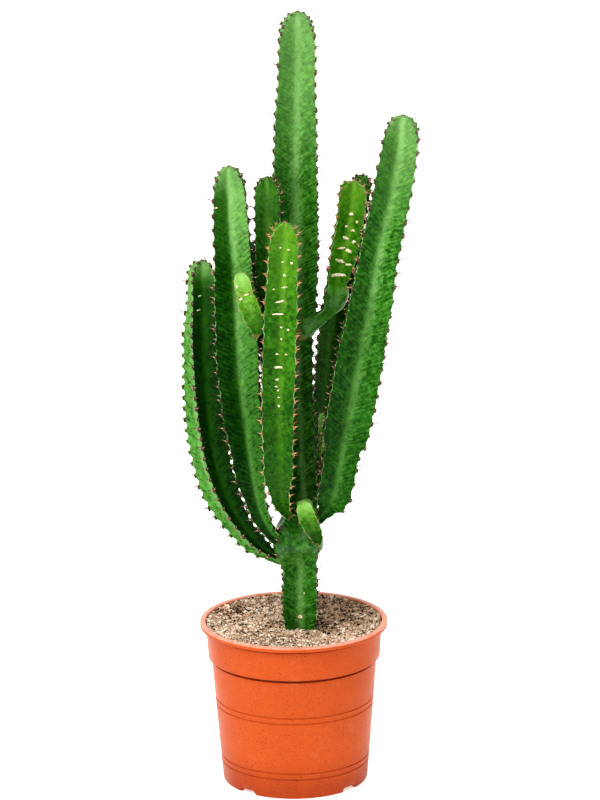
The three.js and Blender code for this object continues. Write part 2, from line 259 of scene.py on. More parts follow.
class Column:
    """One ribbed column: any point of its skin from (distance along, face, place across the face)."""

    def __init__(self, name, shape, look):
        self.name = name
        self.shape = shape
        self.look = look
        self.seed = sum(ord(letter) * (i + 3) for i, letter in enumerate(name))
        path = catmull_rom(shape.route)
        path += np.array([POT_CENTRE.x, POT_CENTRE.y, POT_CENTRE.z]) / MM
        steps = np.linalg.norm(np.diff(path, axis=0), axis=1)
        self.path = path
        self.path_s = np.concatenate([[0], np.cumsum(steps)])
        self.length = self.path_s[-1]
        tangent = unit(np.gradient(path, self.path_s, axis=0))
        self.tangent = tangent
        self._lay_out_areoles()

    def _lay_out_areoles(self):
        """The tooth count as a function of distance: even on the column, closer together over the tip."""
        s = np.linspace(0, self.length, 2000)
        crowding = 1 + 1.7 * smoothstep(s, self.length - 1.1 * self.shape.tip, self.length)
        teeth = np.concatenate([[0], np.cumsum(crowding[1:] * np.diff(s))]) / self.shape.areoles
        self.tooth_s = s
        self.tooth_n = teeth

    def teeth(self, s):
        return np.interp(s, self.tooth_s, self.tooth_n)

    def axes(self, s):
        centre = np.stack([np.interp(s, self.path_s, self.path[:, k]) for k in range(3)], -1)
        along = unit(np.stack([np.interp(s, self.path_s, self.tangent[:, k]) for k in range(3)], -1))
        forward = np.array([0.0, -1.0, 0.0])
        front = unit(forward - along * (along @ forward)[..., None])
        right = np.cross(along, front)
        return centre, along, front, right

    def rib_radius(self, s):
        distances, radii = (np.array(v, float) for v in zip(*self.shape.girth))
        radius = np.full(np.shape(s), radii[-1])
        for i in range(len(distances) - 1):
            inside = (s >= distances[i]) & (s < distances[i + 1])
            eased = radii[i] + (radii[i + 1] - radii[i]) * smoothstep(s, distances[i], distances[i + 1])
            radius = np.where(inside, eased, radius)
        into_tip = np.clip((s - (self.length - self.shape.tip)) / self.shape.tip, 0, 0.985)
        swelling = 1 + 0.018 * soft_noise(s / 16, 0 * s, self.seed)
        return radius * swelling * np.sqrt(1 - into_tip**2)

    def smooth_parts(self, s):
        """1 on the swollen knuckles where branches leave, 0 on the ribbed growth."""
        smooth = np.zeros(np.shape(s))
        for middle, reach in self.shape.knuckles:
            smooth = np.maximum(smooth, np.exp(-(((s - middle) / reach) ** 2)))
        return smooth

    def surface(self, s, face, q, lift=0.0):
        """Skin points in millimetres. q runs from -1 to 1 between a face's two ribs, with the valley at 0."""
        shape, look = self.shape, self.look
        centre, along, front, right = self.axes(s)
        across = np.abs(q)
        side = np.where(q > 0, 1.0, -1.0)
        smooth = self.smooth_parts(s)
        rib = self.rib_radius(s)
        # scalloped margins: a tooth at each areole, alternate ribs half a step apart
        rib_number = (face + (q > 0)) % RIBS
        count = self.teeth(s) + 0.5 * (rib_number % 2)
        older = 1.25 - 0.5 * s / self.length
        toothed = smoothstep(s, shape.first_areole - 14, shape.first_areole + 6) * (1 - smooth) * older
        size = np.clip(rib / 25, 0.2, 1.15)
        depth = look.scallop_depth / MM * shape.scallop * size * toothed
        wave = 2 * np.abs(np.cos(math.pi * count)) ** 1.3 - 1
        rib_out = rib + look.crest_round / MM * 0.25 * size + 0.5 * depth * wave * across**4
        # the two straight slopes from the ribs down to the valley
        valley = shape.valley + 0.10 * (1 - smoothstep(s, 10, 60)) + (0.80 - shape.valley) * smooth
        lean = np.interp(s / self.length, [0, 1], shape.lean) * FACE_ARC
        valley_x, valley_y = valley * rib * np.cos(lean), valley * rib * np.sin(lean)
        rib_x, rib_y = rib_out * math.cos(FACE_ARC), rib_out * math.sin(FACE_ARC) * side
        slope_x, slope_y = rib_x - valley_x, rib_y - valley_y
        slope = np.hypot(slope_x, slope_y) + 1e-9
        x, y = valley_x + across * slope_x, valley_y + across * slope_y
        normal_x, normal_y = slope_y * side / slope, -slope_x * side / slope
        valley_round = look.valley_round / MM * size * np.exp(-((across / 0.14) ** 2))
        crest = (1 - across) * slope
        rounding = look.crest_round / MM * size * np.clip(1 - crest / (look.crest_width / MM), 0, 1) ** 2
        bulge = 0.5 * size * np.sin(math.pi * across) ** 2
        bulge = bulge + 2.5 * smooth * np.sin(math.pi * across) * size
        # herringbone veins that rise from the valley to the ribs, stronger towards the ribs
        patchy = 0.75 + 0.5 * soft_noise(s / 9, q * 2 + face * 5, self.seed + 4)
        relief = look.vein_relief / MM * shape.vein * np.sin(2 * math.pi * self.veins(s, face, q)) * patchy
        strength = smoothstep(across, 0.12, 0.75) * (1 - 0.8 * smoothstep(across, 0.9, 1.0))
        in_growth = smoothstep(s, 30, 80) * size * (1 - smooth)
        relief = relief * strength * in_growth
        uneven = 0.3 * soft_noise(s / 7, q * 4 + face * 3, self.seed + 1) * size * np.minimum(1, 3 * across)
        out = relief + uneven + bulge + lift
        x = x + normal_x * out + valley_round * np.cos(lean) - rounding * math.cos(FACE_ARC)
        y = y + normal_y * out + valley_round * np.sin(lean) - rounding * math.sin(FACE_ARC) * side
        turn = np.radians(np.interp(s / self.length, [0, 1], shape.twist)) + face * 2 * FACE_ARC
        forward, sideways = x * np.cos(turn) - y * np.sin(turn), x * np.sin(turn) + y * np.cos(turn)
        return centre + front * forward[..., None] + right * sideways[..., None]

    def veins(self, s, face, q):
        """Vein count: rises along the column and falls outwards, so that the lines climb to the ribs."""
        rib = self.rib_radius(np.minimum(s, self.length - self.shape.tip))
        rise = self.look.vein_rise * np.abs(q) ** 0.8 * rib
        wander = 0.45 * soft_noise(s / 11, np.sign(q) * 2 + face, self.seed + 2)
        wander = wander + 0.22 * soft_noise(s / 3.5, q * 5 + face * 2, self.seed + 3)
        return self.teeth(s - rise) * self.look.veins_per_tooth + wander


def grown_columns():
    look = settings().skin
    return {name: Column(name, shape, look) for name, shape in COLUMNS.items()}


# ---------------------------------------------------------------------------
# Mesh helpers
# ---------------------------------------------------------------------------


def add_object(name, mesh, material=None):
    piece = bpy.data.objects.new(name, mesh)
    bpy.context.scene.collection.objects.link(piece)
    if material is not None:
        mesh.materials.clear()
        mesh.materials.append(material)
    return piece


def new_mesh(name, points_mm, faces, smooth=True):
    mesh = bpy.data.meshes.new(name)
    mesh.from_pydata((np.asarray(points_mm, float) * MM).tolist(), [], faces)
    mesh.polygons.foreach_set("use_smooth", [smooth] * len(mesh.polygons))
    mesh.update()
    return mesh


def store(mesh, name, values):
    """Keeps one number for every point of the mesh, for its material or its tree to read."""
    data = mesh.attributes.new(name, "FLOAT", "POINT").data
    data.foreach_set("value", np.asarray(values, np.float32).ravel())


def face_out(mesh):
    """Turns the faces of closed pieces outwards."""
    bm = bmesh.new()
    bm.from_mesh(mesh)
    bmesh.ops.recalc_face_normals(bm, faces=bm.faces)
    bm.to_mesh(mesh)
    bm.free()


def ring_faces(rows, sides):
    """Quads between rings of a tube, with the first and last rings closed to their own centre points."""
    i, j = np.meshgrid(np.arange(rows - 1), np.arange(sides), indexing="ij")
    k = (j + 1) % sides
    quads = np.stack([i * sides + j, i * sides + k, (i + 1) * sides + k, (i + 1) * sides + j], -1)
    faces = quads.reshape(-1, 4).tolist()
    foot, tip = rows * sides, rows * sides + 1
    last = (rows - 1) * sides
    for a in range(sides):
        b = (a + 1) % sides
        faces.append((foot, b, a))
        faces.append((tip, last + a, last + b))
    return faces


def lathe(profile, segments):
    """A closed solid of revolution about the pot's axis, from (radius, height) points, axis to axis."""
    angle = np.arange(segments) * 2 * math.pi / segments
    inner = profile[1:-1]
    points = [(r * math.cos(a), r * math.sin(a), z) for r, z in inner for a in angle]
    points += [(0, 0, profile[0][1]), (0, 0, profile[-1][1])]
    return np.array(points) + np.array(POT_CENTRE) / MM, ring_faces(len(inner), segments)


def finish_piece(piece, node=None):
    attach(piece, ROOT)
    if node:
        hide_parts(node)


def bake_modifiers(piece, name):
    """A plain mesh object of what the piece's modifiers make, in its place."""
    graph = bpy.context.evaluated_depsgraph_get()
    mesh = bpy.data.meshes.new_from_object(piece.evaluated_get(graph), depsgraph=graph)
    mesh.name = name
    bpy.data.objects.remove(piece)
    return add_object(name, mesh)


# ---------------------------------------------------------------------------
# Materials
# ---------------------------------------------------------------------------


class Nodes:
    """Short hand for building a material's node tree."""

    def __init__(self, name):
        self.material = bpy.data.materials.new(name)
        self.material.use_nodes = True
        self.tree = self.material.node_tree
        self.shader = self.tree.nodes["Principled BSDF"]

    def add(self, kind, inputs=None, **values):
        node = self.tree.nodes.new(kind)
        for key, value in values.items():
            setattr(node, key, value)
        for key, value in (inputs or {}).items():
            self.feed(node.inputs[key], value)
        return node

    def feed(self, socket, value):
        if isinstance(value, bpy.types.NodeSocket):
            self.tree.links.new(value, socket)
        elif isinstance(value, tuple) and len(value) == 3 and socket.type == "RGBA":
            socket.default_value = (*value, 1.0)
        else:
            socket.default_value = value

    def attribute(self, name):
        return self.add("ShaderNodeAttribute", attribute_name=name).outputs["Fac"]

    def position(self):
        return self.add("ShaderNodeTexCoord").outputs["Object"]

    def noise(self, scale, detail=3.0, rough=0.55, vector=None):
        inputs = {"Scale": scale, "Detail": detail, "Roughness": rough}
        inputs["Vector"] = self.position() if vector is None else vector
        return self.add("ShaderNodeTexNoise", inputs).outputs["Fac"]

    def cells(self, scale, randomness=1.0, feature="F1", output="Distance"):
        inputs = {"Vector": self.position(), "Scale": scale, "Randomness": randomness}
        return self.add("ShaderNodeTexVoronoi", inputs, feature=feature).outputs[output]

    def math(self, operation, a, b=0.0, clamp=False):
        return self.add("ShaderNodeMath", {0: a, 1: b}, operation=operation, use_clamp=clamp).outputs[0]

    def band(self, value, low, high, out_low=0.0, out_high=1.0):
        inputs = {"Value": value, "From Min": low, "From Max": high, "To Min": out_low, "To Max": out_high}
        return self.add("ShaderNodeMapRange", inputs, interpolation_type="SMOOTHSTEP").outputs["Result"]

    def mix(self, factor, a, b, blend="MIX"):
        node = self.add("ShaderNodeMix", data_type="RGBA", blend_type=blend)
        self.feed(node.inputs[0], factor)
        self.feed(node.inputs[6], a)
        self.feed(node.inputs[7], b)
        return node.outputs[2]

    def bump(self, height, distance, strength=1.0, normal=None):
        inputs = {"Height": height, "Distance": distance, "Strength": strength}
        if normal is not None:
            inputs["Normal"] = normal
        return self.add("ShaderNodeBump", inputs).outputs["Normal"]

    def shade(self, **sockets):
        for name, value in sockets.items():
            self.feed(self.shader.inputs[name.replace("_", " ")], value)
        return self.material


def skin_material(name, tone, look):
    """Waxy green skin: feathered veins, a pale valley streak, horny rib margins, cork, speckles, painted
    light and shade.
    """
    n = Nodes(name)
    across, crest, vein = n.attribute("across"), n.attribute("crest"), n.attribute("vein")
    foot, age = n.attribute("foot"), n.attribute("age")
    knuckle, ring = n.attribute("knuckle"), n.attribute("ring")
    bloom = n.attribute("bloom")
    mottle = n.noise(170, 5, 0.7)
    colour = n.mix(n.band(n.noise(26, 4, 0.6), 0.36, 0.66), tone.dark, tone.green)
    # painted light: the paler halves of the faces
    colour = n.mix(n.band(bloom, 0.0, 1.0, 0.0, 0.75), colour, tone.light)
    colour = n.mix(n.band(mottle, 0.48, 0.66, 0.0, 0.6), colour, tone.light)
    colour = n.mix(n.band(mottle, 0.50, 0.34, 0.0, 0.85), colour, tone.deep)
    # feathered veins: a wave broken up by noise, so that no two strokes are alike
    wave = n.math("SINE", n.math("MULTIPLY", vein, 2 * math.pi))
    stretched = {"X": vein, "Y": n.math("MULTIPLY", across, 1.1), "Z": bloom}
    along_vein = n.add("ShaderNodeCombineXYZ", stretched).outputs[0]
    stroke = n.math("SUBTRACT", n.noise(1.15, 3, 0.6, along_vein), 0.5)
    wave = n.math("ADD", n.math("MULTIPLY", wave, 0.6), n.math("MULTIPLY", stroke, 6.0))
    wave = n.math("ADD", wave, n.math("MULTIPLY", n.math("SUBTRACT", n.noise(140, 4, 0.65), 0.5), 2.2))
    plain = n.math("SUBTRACT", 1.0, knuckle)
    veined = n.math("MULTIPLY", plain, tone.veins)
    vein_light = n.math("MULTIPLY", n.band(wave, 0.3, 1.8), n.band(across, 0.02, 0.6, 1.0, 0.75))
    colour = n.mix(n.math("MULTIPLY", vein_light, veined), colour, tone.light)
    vein_dark = n.math("MULTIPLY", n.band(wave, -0.1, -1.7), n.band(across, 0.05, 0.6, 0.3, 1.0))
    colour = n.mix(n.math("MULTIPLY", vein_dark, veined), colour, tone.deep)
    feather = n.math("ADD", across, n.math("MULTIPLY", n.math("SUBTRACT", n.noise(190, 3, 0.7), 0.5), 0.75))
    feather = n.math("SUBTRACT", feather, n.math("MULTIPLY", wave, 0.035))
    streak = n.math("MULTIPLY", n.band(feather, 0.42, -0.04), n.band(n.noise(22, 2), 0.3, 0.65, 0.4, 1.0))
    streak = n.math("MULTIPLY", n.math("MULTIPLY", streak, plain), tone.streak_strength)
    colour = n.mix(streak, colour, tone.streak)
    colour = n.mix(n.band(age, 0.30, 0.0, 0.0, tone.pale_tip), colour, tone.streak)
    # painted shade, growing towards the foot of each column
    colour = n.mix(n.math("MULTIPLY", n.attribute("dusk"), tone.dark_foot), colour, look.dusk[:], "MULTIPLY")
    # painted shade on the darker halves of the faces, twice over where they are darkest
    colour = n.mix(n.math("MULTIPLY", bloom, -0.8, clamp=True), colour, look.dusk[:], "MULTIPLY")
    colour = n.mix(n.band(bloom, -1.2, -2.4), colour, look.dusk[:], "MULTIPLY")
    colour = n.mix(n.math("MULTIPLY", knuckle, tone.waxy), colour, look.wax[:])
    speck = n.math("MULTIPLY", n.band(n.cells(260), 0.16, 0.07), n.band(n.noise(70, 2), 0.54, 0.66))
    colour = n.mix(n.math("MULTIPLY", speck, 0.6), colour, look.pale_fleck[:])
    margin = n.math("MULTIPLY", n.band(crest, 1.6, 0.5), n.band(n.noise(140, 2), 0.34, 0.58))
    colour = n.mix(n.math("MULTIPLY", n.math("MULTIPLY", margin, plain), tone.margin), colour, look.horn[:])
    cork = n.math("ADD", foot, n.math("MULTIPLY", n.math("SUBTRACT", n.noise(120, 4), 0.5), 14.0))
    cork = n.band(cork, 4.0, -1.0)
    rim = n.math("ADD", ring, n.math("MULTIPLY", n.math("SUBTRACT", n.noise(160, 3), 0.5), 7.0))
    cork = n.math("MAXIMUM", cork, n.band(rim, 1.0, 0.3))
    colour = n.mix(n.math("MULTIPLY", cork, tone.cork), colour, look.cork[:])
    rough = n.math("SUBTRACT", n.band(n.noise(90, 3), 0.3, 0.7, 0.34, 0.5), n.math("MULTIPLY", knuckle, 0.2))
    rough = n.math("ADD", rough, n.math("MULTIPLY", cork, 0.4), clamp=True)
    shine = n.band(knuckle, 0.2, 0.9, look.gloss, look.knuckle_gloss)
    pores = n.bump(n.noise(700, 3), 0.0003, 0.35)
    vein_height = n.math("MULTIPLY", n.math("MULTIPLY", wave, plain), across)
    veins = n.bump(vein_height, 0.0009, 0.5 * tone.veins, pores)
    return n.shade(Base_Color=colour, Roughness=rough, Normal=veins, IOR=1.45, Specular_IOR_Level=shine)


def tone(**changes):
    values = dict(
        dark=(0.022, 0.135, 0.004), green=(0.048, 0.210, 0.012), light=(0.160, 0.420, 0.085),
        deep=(0.006, 0.055, 0.001), streak=(0.290, 0.520, 0.180), streak_strength=0.7, veins=0.72,
        margin=0.8, cork=0.35, pale_tip=0.4, dark_foot=0.75, waxy=0.0,
    )
    values.update(changes)
    return SimpleNamespace(**values)


SKIN_TONES = {
    "mature": tone(),
    "shaded": tone(
        dark=(0.014, 0.085, 0.003), green=(0.028, 0.125, 0.006), light=(0.060, 0.210, 0.018),
        deep=(0.003, 0.030, 0.001), streak=(0.110, 0.280, 0.040), pale_tip=0.15, dark_foot=0.7, veins=0.35,
    ),
    "scarred": tone(
        dark=(0.022, 0.130, 0.002), green=(0.050, 0.215, 0.004), light=(0.120, 0.340, 0.020),
        deep=(0.010, 0.060, 0.001), streak=(0.190, 0.400, 0.035), streak_strength=0.6, veins=0.3,
        margin=1.0, pale_tip=0.3, dark_foot=0.75, waxy=0.3,
    ),
    "young": tone(
        dark=(0.085, 0.235, 0.006), green=(0.150, 0.370, 0.020), light=(0.280, 0.560, 0.120),
        deep=(0.038, 0.120, 0.003), streak=(0.320, 0.600, 0.150), streak_strength=0.3, veins=0.4, margin=0.6,
        pale_tip=0.7, dark_foot=1.0,
    ),
}


def spine_material(name, shades):
    """Horny shields and spines, pale at the root of the spine, a painted highlight, and dark at its point."""
    n = Nodes(name)
    part = n.attribute("part")
    grain = n.noise(900, 2)
    shield = n.mix(n.band(grain, 0.48, 0.62), shades.shield, shades.shield_light)
    # the pale root of each spine is a painted highlight
    stalk = n.mix(n.band(part, 1.1, 1.5), shades.root, shades.middle)
    stalk = n.mix(n.band(part, 1.5, 1.9), stalk, shades.point)
    colour = n.mix(n.band(part, 0.6, 0.9), shield, stalk)
    return n.shade(Base_Color=colour, Roughness=0.3, Specular_IOR_Level=0.4)


# root is the pale root of each spine, a painted highlight
HORNS = {
    "dark_horn": SimpleNamespace(
        shield=(0.024, 0.007, 0.002), shield_light=(0.170, 0.080, 0.035),
        root=(0.62, 0.46, 0.34), middle=(0.14, 0.045, 0.028), point=(0.022, 0.005, 0.003),
    ),
    "rusty_horn": SimpleNamespace(
        shield=(0.300, 0.090, 0.030), shield_light=(0.640, 0.440, 0.220),
        root=(0.80, 0.62, 0.38), middle=(0.50, 0.20, 0.090), point=(0.160, 0.035, 0.015),
    ),
}


def scar_material(look):
    """Raised, dry cork of healed scars: cream with tan and rusty flecks."""
    n = Nodes("healed_scar_cork")
    patch = n.noise(500, 4)
    colour = n.mix(n.band(patch, 0.46, 0.62), look.scar[:], look.scar_rust[:])
    return n.shade(Base_Color=colour, Roughness=0.8, Normal=n.bump(n.noise(1500, 3), 0.0003, 0.6))


def pot_material(look):
    """Recycled terracotta-coloured plastic: even, satin, with dark and grey specks, dust, a pale rim top of
    dust and painted sheen, painted shadow under the rim and the collar, and darker towards the foot.
    """
    n = Nodes("terracotta_plastic")
    colour = n.mix(n.band(n.noise(9, 4), 0.35, 0.65), look.plastic[:], look.plastic_light[:])
    colour = n.mix(n.band(n.noise(260, 3, 0.7), 0.3, 0.7, 0.25, 0.0), colour, look.plastic_dark[:])
    speck = n.math("MULTIPLY", n.band(n.cells(190), 0.15, 0.09), n.band(n.noise(60, 2), 0.34, 0.44))
    colour = n.mix(n.math("MULTIPLY", speck, 0.8), colour, look.speck[:])
    dot = n.math("MULTIPLY", n.band(n.cells(330), 0.24, 0.12), n.band(n.noise(80, 2), 0.3, 0.45))
    colour = n.mix(n.math("MULTIPLY", dot, 0.5), colour, look.speck[:])
    chalk = n.math("MULTIPLY", n.band(n.cells(97), 0.09, 0.05), n.band(n.noise(38, 2), 0.56, 0.62))
    colour = n.mix(n.math("MULTIPLY", chalk, 0.7), colour, look.chalk[:])
    dust = n.math("MULTIPLY", n.band(n.noise(25, 5, 0.7), 0.58, 0.8), 0.2)
    colour = n.mix(dust, colour, look.dust[:])
    height = n.add("ShaderNodeSeparateXYZ", {"Vector": n.position()}).outputs["Z"]
    # darker towards the foot, broken up by noise
    foot_darkening = n.math("SUBTRACT", height, n.math("MULTIPLY", n.noise(45, 4), 0.03))
    colour = n.mix(n.band(foot_darkening, 0.045, -0.015, 0.0, 0.75), colour, look.foot_darkening[:], "MULTIPLY")
    # painted shadow under the collar and under the rim's lip
    for shadow_z, reach in ((COLLAR_Z - 0.0022, 0.0024), (look.height - 0.0078, 0.0020)):
        away = n.math("ABSOLUTE", n.math("SUBTRACT", height, shadow_z))
        colour = n.mix(n.band(away, reach, 0.4 * reach, 0.0, 0.5), colour, look.joint[:])
    # pale top of the rim: dust and painted sheen
    on_rim = n.band(height, look.height - 0.0016, look.height - 0.0004)
    on_rim = n.math("MULTIPLY", on_rim, n.band(n.noise(140, 4), 0.25, 0.6, 0.45, 1.0))
    colour = n.mix(n.math("MULTIPLY", on_rim, 0.8), colour, look.rim_dust_and_sheen[:])
    rough = n.band(n.noise(30, 4), 0.3, 0.7, 0.30, 0.42)
    skin = n.bump(n.noise(350, 3), 0.0004, 0.25)
    return n.shade(Base_Color=colour, Roughness=rough, Normal=skin, Specular_IOR_Level=0.1)


def darker_grain_mask(n):
    """1 at the listed places, where the grains are darker, and 0 elsewhere."""
    patches = 0.0
    for x, y, reach in DARKER_GRAIN_PLACES:
        place = POT_CENTRE + Vector((x, y, POT_HEIGHT / MM)) * MM
        between = {0: n.position(), 1: tuple(place)}
        away = n.add("ShaderNodeVectorMath", between, operation="DISTANCE").outputs["Value"]
        patches = n.math("MAXIMUM", n.band(away, reach * MM, 0.4 * reach * MM), patches)
    return n.math("MULTIPLY", patches, n.band(n.noise(70, 3), 0.34, 0.54))


def soil_material(look):
    """Peat between the grains: brown, uneven, matte, with near-black spots that are partly dark peat and
    partly painted shade in the gaps.
    """
    n = Nodes("peat_and_dust")
    fine = n.noise(420, 5, 0.75)
    # near-black spots: dark peat and painted shade in the gaps between the grains
    colour = n.mix(n.band(fine, 0.38, 0.62), look.peat_dark_and_gap_shade[:], look.peat[:])
    colour = n.mix(n.band(n.noise(32, 4), 0.45, 0.62, 0.0, 0.6), colour, look.peat_light[:])
    bump = n.bump(n.noise(520, 5, 0.7), 0.0016, 0.9)
    return n.shade(Base_Color=colour, Roughness=0.95, Normal=bump, Specular_IOR_Level=0.15)


def grain_material(look):
    """Grains of grit, bark and perlite: each takes its own shade from the mix."""
    n = Nodes("grit_and_perlite")
    # darker grains at the listed places
    shade = n.math("SUBTRACT", n.attribute("shade"), n.math("MULTIPLY", darker_grain_mask(n), 0.42))
    colour = n.mix(n.band(shade, 0.22, 0.28), look.bark[:], look.grit_brown[:])
    colour = n.mix(n.band(shade, 0.30, 0.50), colour, look.grit_tan[:])
    colour = n.mix(n.band(shade, 0.62, 0.80), colour, look.grit_pale[:])
    colour = n.mix(n.band(shade, 0.93, 0.95), colour, look.perlite[:])
    fine = n.noise(900, 3)
    colour = n.mix(n.band(fine, 0.3, 0.7, 0.35, 0.0), colour, look.bark[:])
    return n.shade(Base_Color=colour, Roughness=0.9, Normal=n.bump(fine, 0.0004, 0.6), Specular_IOR_Level=0.2)


def floor_material(look):
    """Matte, pale and faintly lit, so that the floor has no edge."""
    n = Nodes("pale_studio_floor")
    colour = n.mix(n.noise(1.5, 2), look.floor[:], look.floor_light[:])
    return n.shade(
        Base_Color=colour, Roughness=0.85, Specular_IOR_Level=0.1,
        Emission_Color=(1.0, 1.0, 1.0), Emission_Strength=look.glow,
    )


# places where the soil's grains are darker: millimetres from the pot's axis, and their reach
DARKER_GRAIN_PLACES = [(58, 12, 46), (38, -22, 26), (-78, 52, 34), (-22, -4, 22), (20, 78, 40), (70, 60, 34)]

# ---------------------------------------------------------------------------
# Settings
# ---------------------------------------------------------------------------


def length(name, description, default):
    return FloatProperty(
        name=name, description=description, default=default, min=0.0, subtype="DISTANCE", unit="LENGTH"
    )


def amount(name, description, default):
    return FloatProperty(name=name, description=description, default=default, subtype="FACTOR")


def colour(name, description, default):
    return FloatVectorProperty(
        name=name, description=description, default=default, size=3, min=0.0, max=1.0, subtype="COLOR"
    )


class SkinSettings(PropertyGroup):
    crest_round: length("Crest rounding", "How far a rib's crest is worn down", 0.0012)
    crest_width: length("Crest width", "Half width of the rounded crest", 0.0026)
    valley_round: length("Valley rounding", "How far the valley's bottom is filled", 0.0012)
    scallop_depth: length("Scallop depth", "Depth of the notches between the teeth of a rib", 0.0022)
    vein_relief: length("Vein relief", "Height of the herringbone veins", 0.0006)
    vein_rise: FloatProperty(
        name="Vein rise", description="How steeply the veins climb to the ribs", default=0.6
    )
    veins_per_tooth: IntProperty(name="Veins per tooth", description="Veins between two areoles", default=3)
    face_columns: IntProperty(
        name="Faces across", description="Mesh columns across each face of a column", default=18
    )
    gloss: amount("Gloss", "Strength of the wax's reflections", 0.10)
    knuckle_gloss: amount("Knuckle gloss", "Strength of the reflections on the swellings", 0.35)
    pale_fleck: colour("Pale flecks", "Small pale flecks in the skin", (0.42, 0.55, 0.26))
    wax: colour("Wax", "Blue-green wax of the smooth swellings", (0.090, 0.300, 0.060))
    # colour of the painted shade towards the foot and on the darker face halves
    dusk: colour("Dusk", "What the old and shaded parts of the skin are darkened by", (0.20, 0.40, 0.10))
    horn: colour("Rib margin", "Dry horny margin of the ribs", (0.42, 0.58, 0.30))
    cork: colour("Cork", "Cork where a column leaves its parent", (0.50, 0.27, 0.13))
    scar: colour("Scar", "Pale cork of a healed scar", (0.98, 0.92, 0.68))
    scar_rust: colour("Scar edge", "Rusty flecks in a scar", (0.62, 0.36, 0.14))


class SpineSettings(PropertyGroup):
    shield_length: length("Shield length", "Length of the horny shield under a pair of spines", 0.0052)
    shield_width: length("Shield width", "Width of the horny shield", 0.0036)
    root_radius: length("Spine radius", "Radius of a spine at its root", 0.00062)
    spread: FloatProperty(
        name="Spread", description="Angle of each spine from straight out", default=math.radians(38),
        subtype="ANGLE", unit="ROTATION",
    )
    variation: amount("Variation", "How much the sizes of areoles differ", 0.28)


class PotSettings(PropertyGroup):
    rim_radius: length("Rim radius", "Outer radius of the rim", RIM_RADIUS)
    height: length("Height", "Height of the pot", POT_HEIGHT)
    wall: length("Wall", "Thickness of the wall", 0.0024)
    segments: IntProperty(name="Segments", description="Sides of the round pot", default=240)
    plastic: colour("Plastic", "Colour of the plastic", (0.49, 0.086, 0.0160))
    plastic_light: colour("Plastic light", "Lighter clouds in the plastic", (0.53, 0.095, 0.0180))
    plastic_dark: colour("Plastic dark", "Darker grain of the plastic", (0.42, 0.056, 0.009))
    speck: colour("Specks", "Dark specks in the plastic", (0.06, 0.018, 0.010))
    chalk: colour("Chalk", "Grey dried water spots", (0.34, 0.24, 0.19))
    dust: colour("Dust", "Dry soil dust on the pot", (0.55, 0.30, 0.17))
    # darkens the pot towards its foot
    foot_darkening: colour("Grime", "What the foot of the pot is darkened by", (0.62, 0.52, 0.50))
    # colour of the painted shadow under the rim and the collar
    joint: colour("Joints", "Dirt in the joints under the rim and the collar", (0.160, 0.022, 0.006))
    # dust and painted sheen on the rim's top
    rim_dust_and_sheen: colour("Rim dust", "Pale, worn top of the rim", (0.84, 0.40, 0.29))


class SoilSettings(PropertyGroup):
    spacing: length("Mesh spacing", "Distance between the soil's surface points", 0.0015)
    mound: length("Mounds", "Height of the uneven surface", 0.0024)
    edge_rise: length("Edge rise", "How far the mix climbs at the pot's wall", 0.0030)
    small_grain: length("Small grain", "Size of the small grains", 0.0019)
    middle_grain: length("Middle grain", "Size of the grains", 0.0036)
    large_grain: length("Large grain", "Size of the coarse grains and chips", 0.0062)
    peat: colour("Peat", "Brown of the mix", (0.38, 0.235, 0.148))
    # dark peat and painted shade in the gaps between the grains
    peat_dark_and_gap_shade: colour("Peat dark", "Gaps between the grains", (0.022, 0.011, 0.006))
    peat_light: colour("Peat light", "Dry patches", (0.58, 0.39, 0.26))
    bark: colour("Bark", "Dark bark chips", (0.018, 0.009, 0.005))
    grit_brown: colour("Brown grit", "Brown grains", (0.42, 0.262, 0.165))
    grit_tan: colour("Tan grit", "Tan grains", (0.76, 0.53, 0.36))
    grit_pale: colour("Pale grit", "Pale grains", (0.96, 0.78, 0.60))
    perlite: colour("Perlite", "Cream grains", (0.95, 0.88, 0.76))


class StageSettings(PropertyGroup):
    distance: length("Camera distance", "Level distance from the pot's axis to the camera", 6.0)
    camera_height: length("Camera height", "Height of the camera over the floor", 2.171)
    camera_side: length("Camera side", "How far the camera stands right of the pot's axis", 0.0109)
    pitch: FloatProperty(
        name="Pitch", description="How far the camera looks down", default=math.radians(15.55),
        subtype="ANGLE", unit="ROTATION",
    )
    roll: FloatProperty(
        name="Roll", description="Clockwise roll of the camera", default=math.radians(0.6),
        subtype="ANGLE", unit="ROTATION",
    )
    lens: FloatProperty(
        name="Lens", description="Focal length for a 36 mm sensor", default=221.9, unit="CAMERA"
    )
    key: FloatProperty(name="Key", description="Strength of the high light at the left", default=2.8)
    fill: FloatProperty(name="Fill", description="Strength of the front light", default=0.5)
    edge: FloatProperty(name="Edge", description="Strength of the lights at the sides", default=0.35)
    backdrop: FloatProperty(name="Backdrop", description="Strength of the light from behind", default=1.5)
    air: FloatProperty(name="Air", description="Strength of the even light", default=0.14)
    glow: FloatProperty(name="Floor glow", description="Strength of the floor's own light", default=0.45)
    floor: colour("Floor", "Pale floor", (0.90, 0.90, 0.90))
    floor_light: colour("Floor light", "Lighter clouds of the floor", (0.93, 0.93, 0.93))


class EuphorbiaSettings(PropertyGroup):
    skin: PointerProperty(type=SkinSettings)
    spines: PointerProperty(type=SpineSettings)
    pot: PointerProperty(type=PotSettings)
    soil: PointerProperty(type=SoilSettings)
    stage: PointerProperty(type=StageSettings)


# ---------------------------------------------------------------------------
# Columns
# ---------------------------------------------------------------------------


def across_steps(count):
    """Places across one face from rib to rib, closer together near the ribs."""
    even = np.linspace(-1, 1, count, endpoint=False)
    return np.sign(even) * (1 - (1 - np.abs(even)) ** 1.45)


